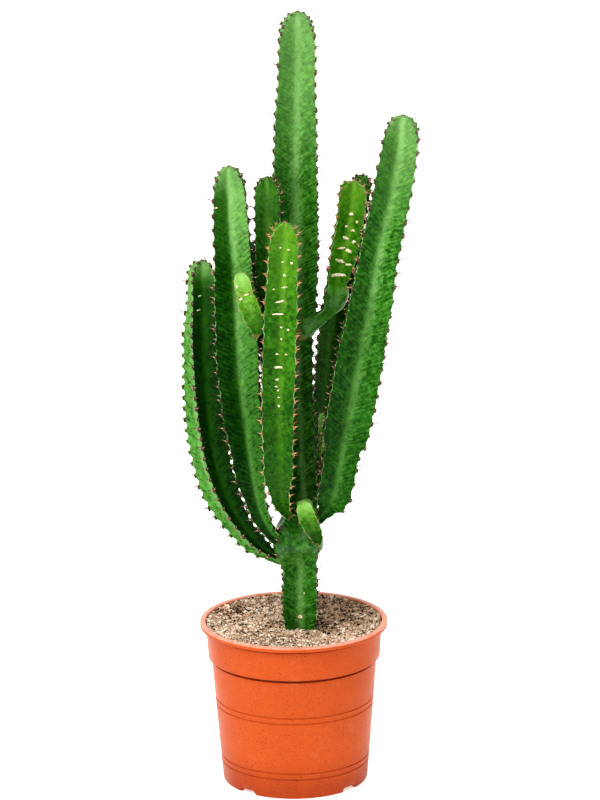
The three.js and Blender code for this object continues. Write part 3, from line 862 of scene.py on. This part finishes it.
def column_mesh(plant, per_face):
    shape = plant.shape
    body_rows = max(8, int((plant.length - shape.tip) / shape.row))
    body = np.linspace(0, plant.length - shape.tip, body_rows, endpoint=False)
    tip_rows = max(8, int(1.6 * shape.tip / shape.row))
    over_tip = np.sin(np.linspace(0, math.pi / 2, tip_rows)) * shape.tip
    s_rows = np.concatenate([body, plant.length - shape.tip + over_tip])
    q_face = across_steps(per_face)
    q = np.tile(q_face, RIBS)
    face = np.repeat(np.arange(RIBS), per_face)
    s_grid, q_grid = np.meshgrid(s_rows, q, indexing="ij")
    face_grid = np.broadcast_to(face, s_grid.shape)
    points = plant.surface(s_grid, face_grid, q_grid).reshape(-1, 3)
    ends = plant.axes(np.array([0.0, plant.length]))[0]
    mesh = new_mesh(plant.name + "_skin", np.vstack([points, ends]), ring_faces(len(s_rows), len(q)))
    rib = plant.rib_radius(s_grid)
    across = np.abs(q_grid)

    def with_ends(values, foot, tip):
        return np.append(np.ravel(values), [foot, tip])

    store(mesh, "across", with_ends(across, 1, 0.5))
    store(mesh, "crest", with_ends((1 - across) * FACE_ARC * rib, 0, 5))
    veins = plant.veins(s_grid, face_grid, q_grid)
    store(mesh, "vein", with_ends(veins, 0, veins.max()))
    store(mesh, "foot", with_ends(s_grid - 16, -16, plant.length))
    age = 1 - s_grid / plant.length
    store(mesh, "age", with_ends(age, 1, 0))
    # painted shade towards the foot
    store(mesh, "dusk", with_ends(np.minimum(smoothstep(age, 0.15, 0.8) * shape.dusk, 1), 1, 0))
    store(mesh, "knuckle", with_ends(plant.smooth_parts(s_grid), 0, 0))
    # painted light and shade on each half of each face, faded out over the tip
    halves = np.array(shape.bloom, float).reshape(RIBS, 2)
    to_right = smoothstep(q_grid, -0.12, 0.12)
    bloom = halves[face_grid, 0] * (1 - to_right) + halves[face_grid, 1] * to_right
    below_tip = smoothstep(plant.length - s_grid, 2, min(40, 0.3 * plant.length))
    store(mesh, "bloom", with_ends(bloom * below_tip, 0, 0))
    to_ring = np.full(s_grid.shape, 99.0)
    for ring in shape.rings:
        to_ring = np.minimum(to_ring, np.abs(s_grid - ring))
    store(mesh, "ring", with_ends(to_ring, 99, 99))
    return mesh


class EUPHORBIA_OT_columns(Operator):
    """Grow the ribbed, veined skin of every column around its CAD solid"""

    bl_idname = "euphorbia.columns"
    bl_label = "Columns"

    def execute(self, context):
        look = settings().skin
        materials = {key: skin_material(key + "_skin", tones, look) for key, tones in SKIN_TONES.items()}
        for name, plant in grown_columns().items():
            key = plant.shape.skin
            piece = add_object(name + "_skin", column_mesh(plant, look.face_columns), materials[key])
            finish_piece(piece, name)
        return {"FINISHED"}


SCAR_SPREAD = 1.12        # cork spreads past the wound it closes


def scar_mesh(plant, number, scar):
    """A closed, ragged lens of cork lying on the skin and slightly sunk into it."""
    s_middle, face, q_middle, width, length = scar
    sides, rings = 14, 4
    rng = np.random.default_rng(plant.seed + number)
    rib = float(plant.rib_radius(np.array([float(s_middle)]))[0])
    half_q = SCAR_SPREAD * width / 2 / (0.8 * rib)
    angle = np.linspace(0, 2 * math.pi, sides, endpoint=False)
    ragged = 1 + rng.uniform(-0.3, 0.3, sides)
    slant = rng.uniform(-0.25, 0.25)
    points = []
    for top in (True, False):
        for ring in range(rings, 0, -1):
            if ring == rings and not top:
                continue
            reach = ring / rings
            along = np.sin(angle) * SCAR_SPREAD * length / 2 * ragged * reach
            along = along + np.cos(angle) * width / 2 * slant * reach
            q = np.clip(q_middle + np.cos(angle) * half_q * ragged * reach, -0.97, 0.97)
            height = (0.75 if top else -0.5) * math.sqrt(1 - reach**2) + 0.12
            lift = np.full(sides, height)
            points.append(plant.surface(s_middle + along, np.full(sides, face), q, lift))
    centre = [np.array([v]) for v in (float(s_middle), face, q_middle)]
    points += [plant.surface(*centre, np.array([0.87])), plant.surface(*centre, np.array([-0.38]))]
    faces = []
    top_centre, low_centre = (2 * rings - 1) * sides, (2 * rings - 1) * sides + 1
    for k in range(sides):
        m = (k + 1) % sides
        for ring in range(rings - 1):
            a, b = ring * sides, (ring + 1) * sides
            faces.append((a + k, a + m, b + m, b + k))
        faces.append(((rings - 1) * sides + k, (rings - 1) * sides + m, top_centre))
        under = rings * sides
        faces.append((m, k, under + k, under + m))
        for ring in range(rings - 2):
            a, b = under + ring * sides, under + (ring + 1) * sides
            faces.append((a + m, a + k, b + k, b + m))
        last = under + (rings - 2) * sides
        faces.append((last + m, last + k, low_centre))
    return np.vstack(points), faces


class EUPHORBIA_OT_scars(Operator):
    """Lay the dry cork of healed scars on the scarred columns"""

    bl_idname = "euphorbia.scars"
    bl_label = "Scars"

    def execute(self, context):
        material = scar_material(settings().skin)
        for name, plant in grown_columns().items():
            if not plant.shape.scars:
                continue
            points, faces, start = [], [], 0
            for number, scar in enumerate(plant.shape.scars):
                more, sides = scar_mesh(plant, number, scar)
                points.append(more)
                faces += [tuple(i + start for i in corners) for corners in sides]
                start += len(more)
            mesh = new_mesh(name + "_scars", np.vstack(points), faces)
            face_out(mesh)
            finish_piece(add_object(name + "_scars", mesh, material), name)
        return {"FINISHED"}


# ---------------------------------------------------------------------------
# Areoles: a horny shield with a pair of spines at each tooth of a rib
# ---------------------------------------------------------------------------


def spine_geometry(bm, part, root, direction, size, radius):
    """One tapering, slightly curved spine with five sides."""
    sides, rings = 5, 4
    out = Vector(direction).normalized()
    side = out.orthogonal().normalized()
    other = out.cross(side)
    previous = None
    for ring in range(rings):
        t = ring / rings
        centre = Vector(root) + out * size * t + Vector((0, 1, 0)) * size * 0.12 * t * t
        girth = radius * (1 - 0.8 * t)
        loop = []
        for k in range(sides):
            a = 2 * math.pi * k / sides
            vertex = bm.verts.new(centre + (side * math.cos(a) + other * math.sin(a)) * girth)
            vertex[part] = 1 + t
            loop.append(vertex)
        if previous:
            for k in range(sides):
                bm.faces.new((previous[k], previous[(k + 1) % sides], loop[(k + 1) % sides], loop[k]))
        else:
            bm.faces.new(loop[::-1])
        previous = loop
    point = bm.verts.new(Vector(root) + out * size + Vector((0, 1, 0)) * size * 0.12)
    point[part] = 2
    for k in range(sides):
        bm.faces.new((previous[k], previous[(k + 1) % sides], point))


def areole_template(look):
    """A shield and its two spines at full size: +Z out of the rib and +Y up along it."""
    bm = bmesh.new()
    part = bm.verts.layers.float.new("part")
    bmesh.ops.create_icosphere(bm, subdivisions=1, radius=0.5)
    for vertex in bm.verts:
        vertex.co.x *= look.shield_width
        vertex.co.y *= look.shield_length
        vertex.co.z *= 0.0024
        vertex[part] = 0.0
    for side in (-1, 1):
        root = (side * look.shield_width * 0.2, look.shield_length * 0.12, 0.0003)
        direction = (side * math.sin(look.spread), 0.16, math.cos(look.spread))
        spine_geometry(bm, part, root, direction, 0.006, look.root_radius)
    mesh = bpy.data.meshes.new("areole_template")
    bm.to_mesh(mesh)
    bm.free()
    mesh.polygons.foreach_set("use_smooth", [True] * len(mesh.polygons))
    return bpy.data.objects.new("areole_template", mesh)


def areole_points(plant):
    """A mesh of loose points at the teeth, with the ways out and up and the size of each as attributes."""
    shape = plant.shape
    places, outs, ups, sizes = [], [], [], []
    rng = random.Random(plant.seed)
    for rib in range(RIBS):
        offset = 0.5 * (rib % 2)
        first = math.ceil(plant.teeth(shape.first_areole) + offset)
        last = math.floor(plant.teeth(plant.length - 1.5) + offset)
        for k in range(first, last + 1):
            s = float(np.interp(k - offset, plant.tooth_n, plant.tooth_s))
            s = np.array([s + rng.uniform(-0.6, 0.6)])
            face, q = np.array([rib]), np.array([-1.0])
            point = plant.surface(s, face, q)[0]
            ahead = plant.surface(np.minimum(s + 2.5, plant.length - 0.2), face, q)[0]
            centre, along, _, _ = plant.axes(s)
            out = unit(point - centre[0])
            near_tip = float(smoothstep(s, plant.length - 0.6 * shape.tip, plant.length)[0])
            out = unit(out + along[0] * (0.12 + 0.9 * near_tip))
            up = unit(ahead - point + 1e-6)
            places.append(point)
            outs.append(out)
            ups.append(up)
            sizes.append(shape.spine / 6.0 * (1 - 0.25 * near_tip))
    # the youngest areoles huddle on the growing tip
    end = np.array([plant.length - 0.3])
    centre, along, _, _ = plant.axes(end)
    for rib in range(RIBS):
        rim = plant.surface(end, np.array([rib]), np.array([-1.0]))[0]
        aside = unit(rim - centre[0])
        places.append(centre[0] + (rim - centre[0]) * 0.38 + along[0] * 0.3)
        outs.append(unit(along[0] + 0.5 * aside))
        ups.append(unit(-aside + 0.2 * along[0]))
        sizes.append(shape.spine / 6.0 * 0.62)
    mesh = bpy.data.meshes.new(plant.name + "_areole_points")
    mesh.from_pydata((np.array(places) * MM).tolist(), [], [])
    for name, values in (("out", outs), ("up", ups)):
        data = mesh.attributes.new(name, "FLOAT_VECTOR", "POINT").data
        data.foreach_set("vector", np.array(values, np.float32).ravel())
    store(mesh, "size", sizes)
    return add_object(plant.name + "_areole_points", mesh)


class Tree:
    """Short hand for building a Geometry Nodes tree."""

    def __init__(self, name):
        self.group = bpy.data.node_groups.new(name, "GeometryNodeTree")
        self.group.interface.new_socket("Geometry", in_out="OUTPUT", socket_type="NodeSocketGeometry")
        self.group.interface.new_socket("Geometry", in_out="INPUT", socket_type="NodeSocketGeometry")
        self.source = self.group.nodes.new("NodeGroupInput")
        self.result = self.group.nodes.new("NodeGroupOutput")

    def input(self, name, kind, default=None):
        socket = self.group.interface.new_socket(name, in_out="INPUT", socket_type="NodeSocket" + kind)
        if default is not None:
            socket.default_value = default
        return self.source.outputs[name]

    def add(self, kind, inputs=None, **values):
        node = self.group.nodes.new(kind)
        for key, value in values.items():
            setattr(node, key, value)
        for key, value in (inputs or {}).items():
            if isinstance(value, bpy.types.NodeSocket):
                self.group.links.new(value, node.inputs[key])
            else:
                node.inputs[key].default_value = value
        return node

    def named(self, name, kind):
        node = self.add("GeometryNodeInputNamedAttribute", {"Name": name}, data_type=kind)
        return node.outputs["Attribute"]

    def random(self, low, high, seed):
        node = self.add("FunctionNodeRandomValue", {"Seed": seed}, data_type="FLOAT")
        for socket, value in ((node.inputs[2], low), (node.inputs[3], high)):
            if isinstance(value, bpy.types.NodeSocket):
                self.group.links.new(value, socket)
            else:
                socket.default_value = value
        return node.outputs[1]

    def multiply(self, a, b):
        return self.add("ShaderNodeMath", {0: a, 1: b}, operation="MULTIPLY").outputs[0]

    def close(self, geometry, material):
        """Ends the tree: instances made real, then the material set."""
        real = self.add("GeometryNodeRealizeInstances", {"Geometry": geometry})
        painted = self.add("GeometryNodeSetMaterial", {"Geometry": real.outputs[0], "Material": material})
        self.group.links.new(painted.outputs[0], self.result.inputs[0])
        return self.group


def areole_tree():
    """Stands a copy of the areole on each point, out from its rib and up along it."""
    tree = Tree("Areoles on ribs")
    template = tree.input("Areole", "Object")
    material = tree.input("Horn", "Material")
    variation = tree.input("Variation", "Float", 0.3)
    seed = tree.input("Seed", "Int", 1)
    shape = tree.add("GeometryNodeObjectInfo", {"Object": template}, transform_space="ORIGINAL")
    out = tree.named("out", "FLOAT_VECTOR")
    up = tree.named("up", "FLOAT_VECTOR")
    to_out = tree.add("FunctionNodeAlignRotationToVector", {"Vector": out}, axis="Z")
    to_up = tree.add(
        "FunctionNodeAlignRotationToVector",
        {"Rotation": to_out.outputs[0], "Vector": up},
        axis="Y", pivot_axis="Z",
    )
    low = tree.add("ShaderNodeMath", {0: 1.0, 1: variation}, operation="SUBTRACT").outputs[0]
    high = tree.add("ShaderNodeMath", {0: 1.0, 1: variation}, operation="ADD").outputs[0]
    scale = tree.multiply(tree.random(low, high, seed), tree.named("size", "FLOAT"))
    stood = tree.add(
        "GeometryNodeInstanceOnPoints",
        {
            "Points": tree.source.outputs[0], "Instance": shape.outputs["Geometry"],
            "Rotation": to_up.outputs[0], "Scale": scale,
        },
    )
    return tree.close(stood.outputs[0], material)


def run_tree(piece, group, values):
    """Adds a Geometry Nodes modifier with its inputs set by name, through each socket's identifier."""
    modifier = piece.modifiers.new(group.name, "NODES")
    modifier.node_group = group
    for item in group.interface.items_tree:
        if item.in_out == "INPUT" and item.name in values:
            modifier[item.identifier] = values[item.name]
    return modifier


class EUPHORBIA_OT_areoles(Operator):
    """Stand a shield and a pair of spines on every tooth of the ribs"""

    bl_idname = "euphorbia.areoles"
    bl_label = "Areoles and spines"

    def execute(self, context):
        look = settings().spines
        template = areole_template(look)
        horns = {name: spine_material(name, shades) for name, shades in HORNS.items()}
        group = areole_tree()
        for number, (name, plant) in enumerate(grown_columns().items()):
            points = areole_points(plant)
            horn = horns[plant.shape.horn]
            values = {"Areole": template, "Horn": horn, "Variation": look.variation, "Seed": number + 1}
            run_tree(points, group, values)
            piece = bake_modifiers(points, name + "_spines")
            finish_piece(piece, name)
        bpy.data.objects.remove(template)
        return {"FINISHED"}


# ---------------------------------------------------------------------------
# Pot
# ---------------------------------------------------------------------------

# millimetres from the pot's foot and axis, unless another unit is given
BODY_TOP_Z = 161
BODY_TOP_RADIUS = 105.6
BODY_FOOT_RADIUS = 92.6
COLLAR_FOOT_RADIUS = 110
COLLAR_TOP_RADIUS = 112.2
JOINT_DEPTH = 3.0         # the joint under the collar, measured in from the wall
GROOVE_HEIGHTS = (30.5, 107)
GROOVE_HALF_SPACING = 4
FLOOR_Z = 6.0
FLOOR_THICKNESS = 2.4
FOOT_NOTCHES = 4
NOTCH_TURN = 3.5          # degrees from the 45 degree lines
NOTCH_HALF_ANGLE = 7.6    # degrees
NOTCH_HEIGHT = 5.5
FOOT_RING_INSIDE = 84     # inner radius of all that the notches lift
DRAIN_HOLES = 6
DRAIN_CIRCLE = 58.0
DRAIN_RADIUS = 6.0


def arc(centre_r, centre_z, radius, start, end, steps=5):
    """Points of a rounded edge in the profile, angles in degrees from straight out."""
    points = []
    for a in np.radians(np.linspace(start, end, steps)):
        points.append((centre_r + radius * math.cos(a), centre_z + radius * math.sin(a)))
    return points


def groove(middle_z, wall_at, depth=1.04, half=1.2):
    """A pair of thin grooves with a slightly proud band between them."""
    points = []
    for side in (-1, 1):
        z = middle_z + side * GROOVE_HALF_SPACING
        points += [(wall_at(z - half) + 0.1, z - half), (wall_at(z) - depth, z - 0.45)]
        points += [(wall_at(z) - depth, z + 0.45), (wall_at(z + half) + 0.1, z + half)]
    return points


def pot_profile(look):
    """The pot's outline as (radius, height): under the floor, up outside, over the rim and down inside."""
    rim = look.rim_radius / MM
    top = look.height / MM + 0.8
    wall = look.wall / MM
    collar_z = COLLAR_Z / MM
    foot, body_top, collar_top = BODY_FOOT_RADIUS, BODY_TOP_RADIUS, COLLAR_TOP_RADIUS

    def wall_at(z):
        return foot + (body_top - foot) * z / BODY_TOP_Z

    under = [(0, FLOOR_Z), (foot - 7.2, FLOOR_Z), (foot - 6, 4.5), (foot - 6, 0.4), (foot - 5.6, 0)]
    under += [(foot - 2.0, 0)]
    under += arc(foot - 1.6, 1.6, 1.6, -85, -5, 5)
    body = [(wall_at(5), 5), (wall_at(14), 14)]
    body += groove(GROOVE_HEIGHTS[0], wall_at) + [(wall_at(60), 60)] + groove(GROOVE_HEIGHTS[1], wall_at)
    body += [(wall_at(130), 130), (wall_at(157), 157), (body_top - 0.4, 159.6)]
    joint = [(body_top - JOINT_DEPTH, 160.4), (body_top - JOINT_DEPTH, 162.6), (body_top + 0.4, 163.2)]
    collar = arc(COLLAR_FOOT_RADIUS - 1.2, collar_z + 1.2, 1.2, -88, 0, 5)
    collar += [(COLLAR_FOOT_RADIUS + 0.4, 175), (collar_top - 0.6, 193), (collar_top, top - 9.6)]
    collar += [(collar_top - 1.8, top - 9.0), (collar_top - 1.8, top - 7.4), (collar_top + 0.8, top - 6.6)]
    lip = arc(rim - 1.6, top - 4.9, 1.6, -88, 0, 5) + arc(rim - 1.5, top - 1.5, 1.5, 0, 90, 6)
    lip += arc(114.2, top - 1.4, 1.4, 90, 180, 4)
    lip += [(112.8, top - 3), (112.6, top - 5)]
    inside = [(collar_top - wall, top - 12), (COLLAR_FOOT_RADIUS - wall, collar_z + 10)]
    inside += [(body_top - 4.6, collar_z + 1.5), (body_top - 4.6, 158), (wall_at(151) - wall, 151)]
    inside += [(wall_at(12) - wall, 12), (wall_at(9) - wall - 2.6, FLOOR_Z + FLOOR_THICKNESS)]
    inside += [(0, FLOOR_Z + FLOOR_THICKNESS)]
    return under + body + joint + collar + lip + inside


def raise_notches(points):
    """Lifts the foot ring's edge in the drainage notches, with rounded shoulders."""
    x = points[:, 0] - POT_CENTRE.x / MM
    y = points[:, 1] - POT_CENTRE.y / MM
    radius = np.hypot(x, y)
    azimuth = np.degrees(np.arctan2(y, x))
    step = 360 / FOOT_NOTCHES
    from_notch = np.abs((azimuth - 45 - NOTCH_TURN + step / 2) % step - step / 2)
    open_part = 1 - smoothstep(from_notch, NOTCH_HALF_ANGLE - 1.2, NOTCH_HALF_ANGLE + 0.3)
    z = points[:, 2]
    ring = (radius > FOOT_RING_INSIDE) & (z < FLOOR_Z + 1e-6)
    lifted = z + (NOTCH_HEIGHT - z * NOTCH_HEIGHT / FLOOR_Z) * open_part
    points[:, 2] = np.where(ring, lifted, z)
    return points


class EUPHORBIA_OT_pot(Operator):
    """Turn the nursery pot with its lip, collar, grooves, notched foot ring and drain holes"""

    bl_idname = "euphorbia.pot"
    bl_label = "Pot"

    def execute(self, context):
        look = settings().pot
        points, faces = lathe(pot_profile(look), look.segments)
        pot = add_object("nursery_pot", new_mesh("nursery_pot", raise_notches(points), faces))
        for number in range(DRAIN_HOLES):
            a = number * 2 * math.pi / DRAIN_HOLES
            hole = Vector((DRAIN_CIRCLE * math.cos(a), DRAIN_CIRCLE * math.sin(a), FLOOR_Z + 1.2))
            centre = POT_CENTRE / MM + hole
            bm = bmesh.new()
            bmesh.ops.create_cone(
                bm, cap_ends=True, segments=24, radius1=DRAIN_RADIUS * MM, radius2=DRAIN_RADIUS * MM,
                depth=0.01, matrix=Matrix.Translation(centre * MM),
            )
            punch_mesh = bpy.data.meshes.new("drain_punch")
            bm.to_mesh(punch_mesh)
            bm.free()
            punch = add_object("drain_punch_%d" % number, punch_mesh)
            cut = pot.modifiers.new("drain_hole_%d" % number, "BOOLEAN")
            cut.operation = "DIFFERENCE"
            cut.solver = "EXACT"
            cut.object = punch
        pot = bake_modifiers(pot, "nursery_pot")
        for number in range(DRAIN_HOLES):
            bpy.data.objects.remove(bpy.data.objects["drain_punch_%d" % number])
        pot.data.materials.clear()
        pot.data.materials.append(pot_material(look))
        pot.data.polygons.foreach_set("use_smooth", [True] * len(pot.data.polygons))
        pot.data.set_sharp_from_angle(angle=math.radians(50))
        finish_piece(pot, "pot")
        return {"FINISHED"}


# ---------------------------------------------------------------------------
# Soil
# ---------------------------------------------------------------------------

STEM_IN_SOIL = Vector((8, -14))     # the stem's place on the soil, millimetres from the pot's axis
SOIL_EDGE_RADIUS = 112.3
SOIL_FOOT_RADIUS = 84.0
# the mix below its surface, clear of the wall: (radius, height) in millimetres
SOIL_SIDES = [(98.0, 150.0), (99.6, 166.0), (106.6, 178.0), (109.0, 197.0), (111.4, 204.6)]


def soil_height(x, y, look):
    """Height of the mix over the pot's foot, in millimetres, at a place measured from the pot's axis."""
    level = (SOIL_HIGH[2] - POT_CENTRE.z) / MM - 0.9
    from_axis = math.hypot(x, y)
    away = math.hypot(x - STEM_IN_SOIL.x, y - STEM_IN_SOIL.y)
    broad = noise.noise(Vector((x / 26, y / 26, 3.1)))
    clods = noise.fractal(Vector((x / 7.5, y / 7.5, 8.2)), 0.8, 2.1, 4)
    crumbs = noise.noise(Vector((x / 1.9, y / 1.9, 1.7)))
    against_stem = 1.6 * math.exp(-(((away - 26) / 9) ** 2))
    back = 2.0 * max(0.0, y / 110)
    edge = look.edge_rise / MM * max(0.0, min(1.0, (from_axis - 92) / 16)) ** 1.5
    return level + look.mound / MM * (0.8 * broad + 0.75 * clods) + 0.55 * crumbs + against_stem + back + edge


class EUPHORBIA_OT_soil(Operator):
    """Fill the pot with the uneven peat mix"""

    bl_idname = "euphorbia.soil"
    bl_label = "Soil"

    def execute(self, context):
        look = settings().soil
        rings = int(SOIL_EDGE_RADIUS * MM / look.spacing)
        sides = 360
        points = []
        low = (SOIL_LOW[2] - POT_CENTRE.z) / MM
        under = [(SOIL_FOOT_RADIUS, low), *SOIL_SIDES]
        for radius, z in under:
            points += self.ring(radius, sides, lambda x, y, z=z: z)
        for k in range(rings, 0, -1):
            points += self.ring(SOIL_EDGE_RADIUS * k / rings, sides, lambda x, y: soil_height(x, y, look))
        points += [(0, 0, low), (0, 0, soil_height(0, 0, look))]
        points = np.array(points) + np.array(POT_CENTRE) / MM
        mesh = new_mesh("soil_mix", points, ring_faces(len(under) + rings, sides))
        soil = add_object("soil_mix", mesh, soil_material(look))
        finish_piece(soil, "soil")
        return {"FINISHED"}

    @staticmethod
    def ring(radius, sides, height):
        points = []
        for k in range(sides):
            x = radius * math.cos(2 * math.pi * k / sides)
            y = radius * math.sin(2 * math.pi * k / sides)
            points.append((x, y, height(x, y)))
        return points


def grain_shapes(count, roughness, subdivisions):
    """A hidden collection of irregular grains, each about one metre across, to be scattered at scale."""
    shapes = bpy.data.collections.new("grain_shapes")
    rng = random.Random(count * 7 + subdivisions)
    for number in range(count):
        bm = bmesh.new()
        bmesh.ops.create_icosphere(bm, subdivisions=subdivisions, radius=0.5)
        stretch = Vector((rng.uniform(0.7, 1.3), rng.uniform(0.55, 1.0), rng.uniform(0.45, 0.8)))
        for vertex in bm.verts:
            vertex.co *= 1 + rng.uniform(-roughness, roughness)
            vertex.co *= stretch
        mesh = bpy.data.meshes.new("grain_%d" % number)
        bm.to_mesh(mesh)
        bm.free()
        shapes.objects.link(bpy.data.objects.new("grain_%d" % number, mesh))
    return shapes


def grain_tree():
    """Scatters grains over the upward faces of the soil, each with its own size, turn and shade."""
    tree = Tree("Grains on soil")
    shapes = tree.input("Shapes", "Collection")
    material = tree.input("Grit", "Material")
    density = tree.input("Density", "Float", 100000.0)
    smallest = tree.input("Smallest", "Float", 0.001)
    largest = tree.input("Largest", "Float", 0.002)
    seed = tree.input("Seed", "Int", 1)
    normal = tree.add("GeometryNodeInputNormal")
    height = tree.add("ShaderNodeSeparateXYZ", {0: normal.outputs[0]})
    upward = tree.add(
        "FunctionNodeCompare", {0: height.outputs["Z"], 1: 0.3}, data_type="FLOAT", operation="GREATER_THAN"
    )
    scatter = tree.add(
        "GeometryNodeDistributePointsOnFaces",
        {"Mesh": tree.source.outputs[0], "Selection": upward.outputs[0], "Density": density, "Seed": seed},
    )
    shade = tree.random(0.0, 1.0, seed)
    shaded = tree.add(
        "GeometryNodeStoreNamedAttribute",
        {"Geometry": scatter.outputs["Points"], "Name": "shade", "Value": shade},
        data_type="FLOAT", domain="POINT",
    )
    grains = tree.add(
        "GeometryNodeCollectionInfo",
        {"Collection": shapes, "Separate Children": True, "Reset Children": True},
    )
    turn = tree.add("FunctionNodeRandomValue", {"Seed": seed}, data_type="FLOAT_VECTOR")
    turn.inputs[0].default_value = (0, 0, 0)
    turn.inputs[1].default_value = (0.9, 0.9, 2 * math.pi)
    size = tree.random(smallest, largest, seed)
    stood = tree.add(
        "GeometryNodeInstanceOnPoints",
        {
            "Points": shaded.outputs[0], "Instance": grains.outputs[0], "Pick Instance": True,
            "Rotation": turn.outputs[0], "Scale": size,
        },
    )
    return tree.close(stood.outputs[0], material)


class EUPHORBIA_OT_grit(Operator):
    """Scatter grit, bark chips and perlite over the soil"""

    bl_idname = "euphorbia.grit"
    bl_label = "Grit and perlite"

    def execute(self, context):
        look = settings().soil
        soil = bpy.data.objects["soil_mix"]
        material = grain_material(look)
        group = grain_tree()
        layers = (
            ("small_grains", 1, 0.22, 200000.0, 0.55 * look.small_grain, look.small_grain, 4),
            ("middle_grains", 1, 0.25, 80000.0, 0.55 * look.middle_grain, look.middle_grain, 7),
            ("coarse_grains", 2, 0.20, 11000.0, 0.6 * look.large_grain, look.large_grain, 11),
        )
        for name, subdivisions, roughness, density, smallest, largest, seed in layers:
            shapes = grain_shapes(5, roughness, subdivisions)
            ground = add_object(name + "_ground", soil.data.copy())
            values = {
                "Shapes": shapes, "Grit": material, "Density": density,
                "Smallest": smallest, "Largest": largest, "Seed": seed,
            }
            run_tree(ground, group, values)
            piece = bake_modifiers(ground, name)
            for grain in list(shapes.objects):
                bpy.data.objects.remove(grain)
            bpy.data.collections.remove(shapes)
            finish_piece(piece, "soil")
        return {"FINISHED"}


# ---------------------------------------------------------------------------
# Stage
# ---------------------------------------------------------------------------


class EUPHORBIA_OT_stage(Operator):
    """Lay the pale floor, hang the soft studio lights and set up the camera"""

    bl_idname = "euphorbia.stage"
    bl_label = "Stage"

    def execute(self, context):
        look = settings().stage
        scene = context.scene
        scene.view_settings.view_transform = "Standard"
        scene.view_settings.look = "Medium High Contrast"
        bpy.ops.mesh.primitive_plane_add(size=60, location=(0, 0, 0))
        floor = context.object
        floor.name = "studio_floor"
        floor.data.materials.append(floor_material(look))
        world = bpy.data.worlds.new("studio_air")
        world.use_nodes = True
        air = world.node_tree.nodes["Background"]
        air.inputs["Color"].default_value = (1, 1, 1, 1)
        air.inputs["Strength"].default_value = look.air
        scene.world = world
        self.sun("key_light", (38, 0, -38), look.key, 52)
        self.sun("front_fill", (60, 0, 8), look.fill, 60)
        self.sun("left_edge_light", (70, 0, -118), 0.3 * look.edge, 60)
        self.sun("right_edge_light", (66, 0, 88), 1.4 * look.edge, 50)
        self.sun("backdrop_light", (52, 0, 176), look.backdrop, 80)
        camera_data = bpy.data.cameras.new("camera")
        camera_data.lens = look.lens
        camera_data.sensor_width = 36
        camera_data.clip_end = 100
        camera = bpy.data.objects.new("camera", camera_data)
        scene.collection.objects.link(camera)
        camera.location = (POT_CENTRE.x + look.camera_side, POT_CENTRE.y - look.distance, look.camera_height)
        tilt = Matrix.Rotation(math.radians(90) - look.pitch, 4, "X") @ Matrix.Rotation(-look.roll, 4, "Z")
        camera.rotation_euler = tilt.to_euler()
        scene.camera = camera
        return {"FINISHED"}

    @staticmethod
    def sun(name, turn, strength, softness):
        """A broad, far light. turn is its tilt from straight down and its swing, in degrees."""
        data = bpy.data.lights.new(name, "SUN")
        data.energy = strength
        data.angle = math.radians(softness)
        light = bpy.data.objects.new(name, data)
        light.rotation_euler = tuple(math.radians(a) for a in turn)
        bpy.context.scene.collection.objects.link(light)


# ---------------------------------------------------------------------------
# Panel and run
# ---------------------------------------------------------------------------

OPERATORS = (
    EUPHORBIA_OT_stage,
    EUPHORBIA_OT_pot,
    EUPHORBIA_OT_soil,
    EUPHORBIA_OT_grit,
    EUPHORBIA_OT_columns,
    EUPHORBIA_OT_scars,
    EUPHORBIA_OT_areoles,
)


class EUPHORBIA_PT_panel(Panel):
    bl_idname = "EUPHORBIA_PT_panel"
    bl_label = "Potted Euphorbia"
    bl_space_type = "VIEW_3D"
    bl_region_type = "UI"
    bl_category = "Euphorbia"

    def draw(self, context):
        for operator in OPERATORS:
            self.layout.operator(operator.bl_idname)
        for group_name in ("skin", "spines", "pot", "soil", "stage"):
            box = self.layout.box()
            box.label(text=group_name.capitalize())
            group = getattr(context.scene.euphorbia, group_name)
            for name in group.__annotations__:
                box.prop(group, name)


CLASSES = (
    SkinSettings,
    SpineSettings,
    PotSettings,
    SoilSettings,
    StageSettings,
    EuphorbiaSettings,
    *OPERATORS,
    EUPHORBIA_PT_panel,
)


def register():
    for cls in CLASSES:
        bpy.utils.register_class(cls)
    bpy.types.Scene.euphorbia = PointerProperty(type=EuphorbiaSettings)


def unregister():
    del bpy.types.Scene.euphorbia
    for cls in reversed(CLASSES):
        bpy.utils.unregister_class(cls)


def main():
    register()
    bpy.ops.euphorbia.stage()
    bpy.ops.euphorbia.pot()
    bpy.ops.euphorbia.soil()
    bpy.ops.euphorbia.grit()
    bpy.ops.euphorbia.columns()
    bpy.ops.euphorbia.scars()
    bpy.ops.euphorbia.areoles()


if __name__ == "__main__":
    main()
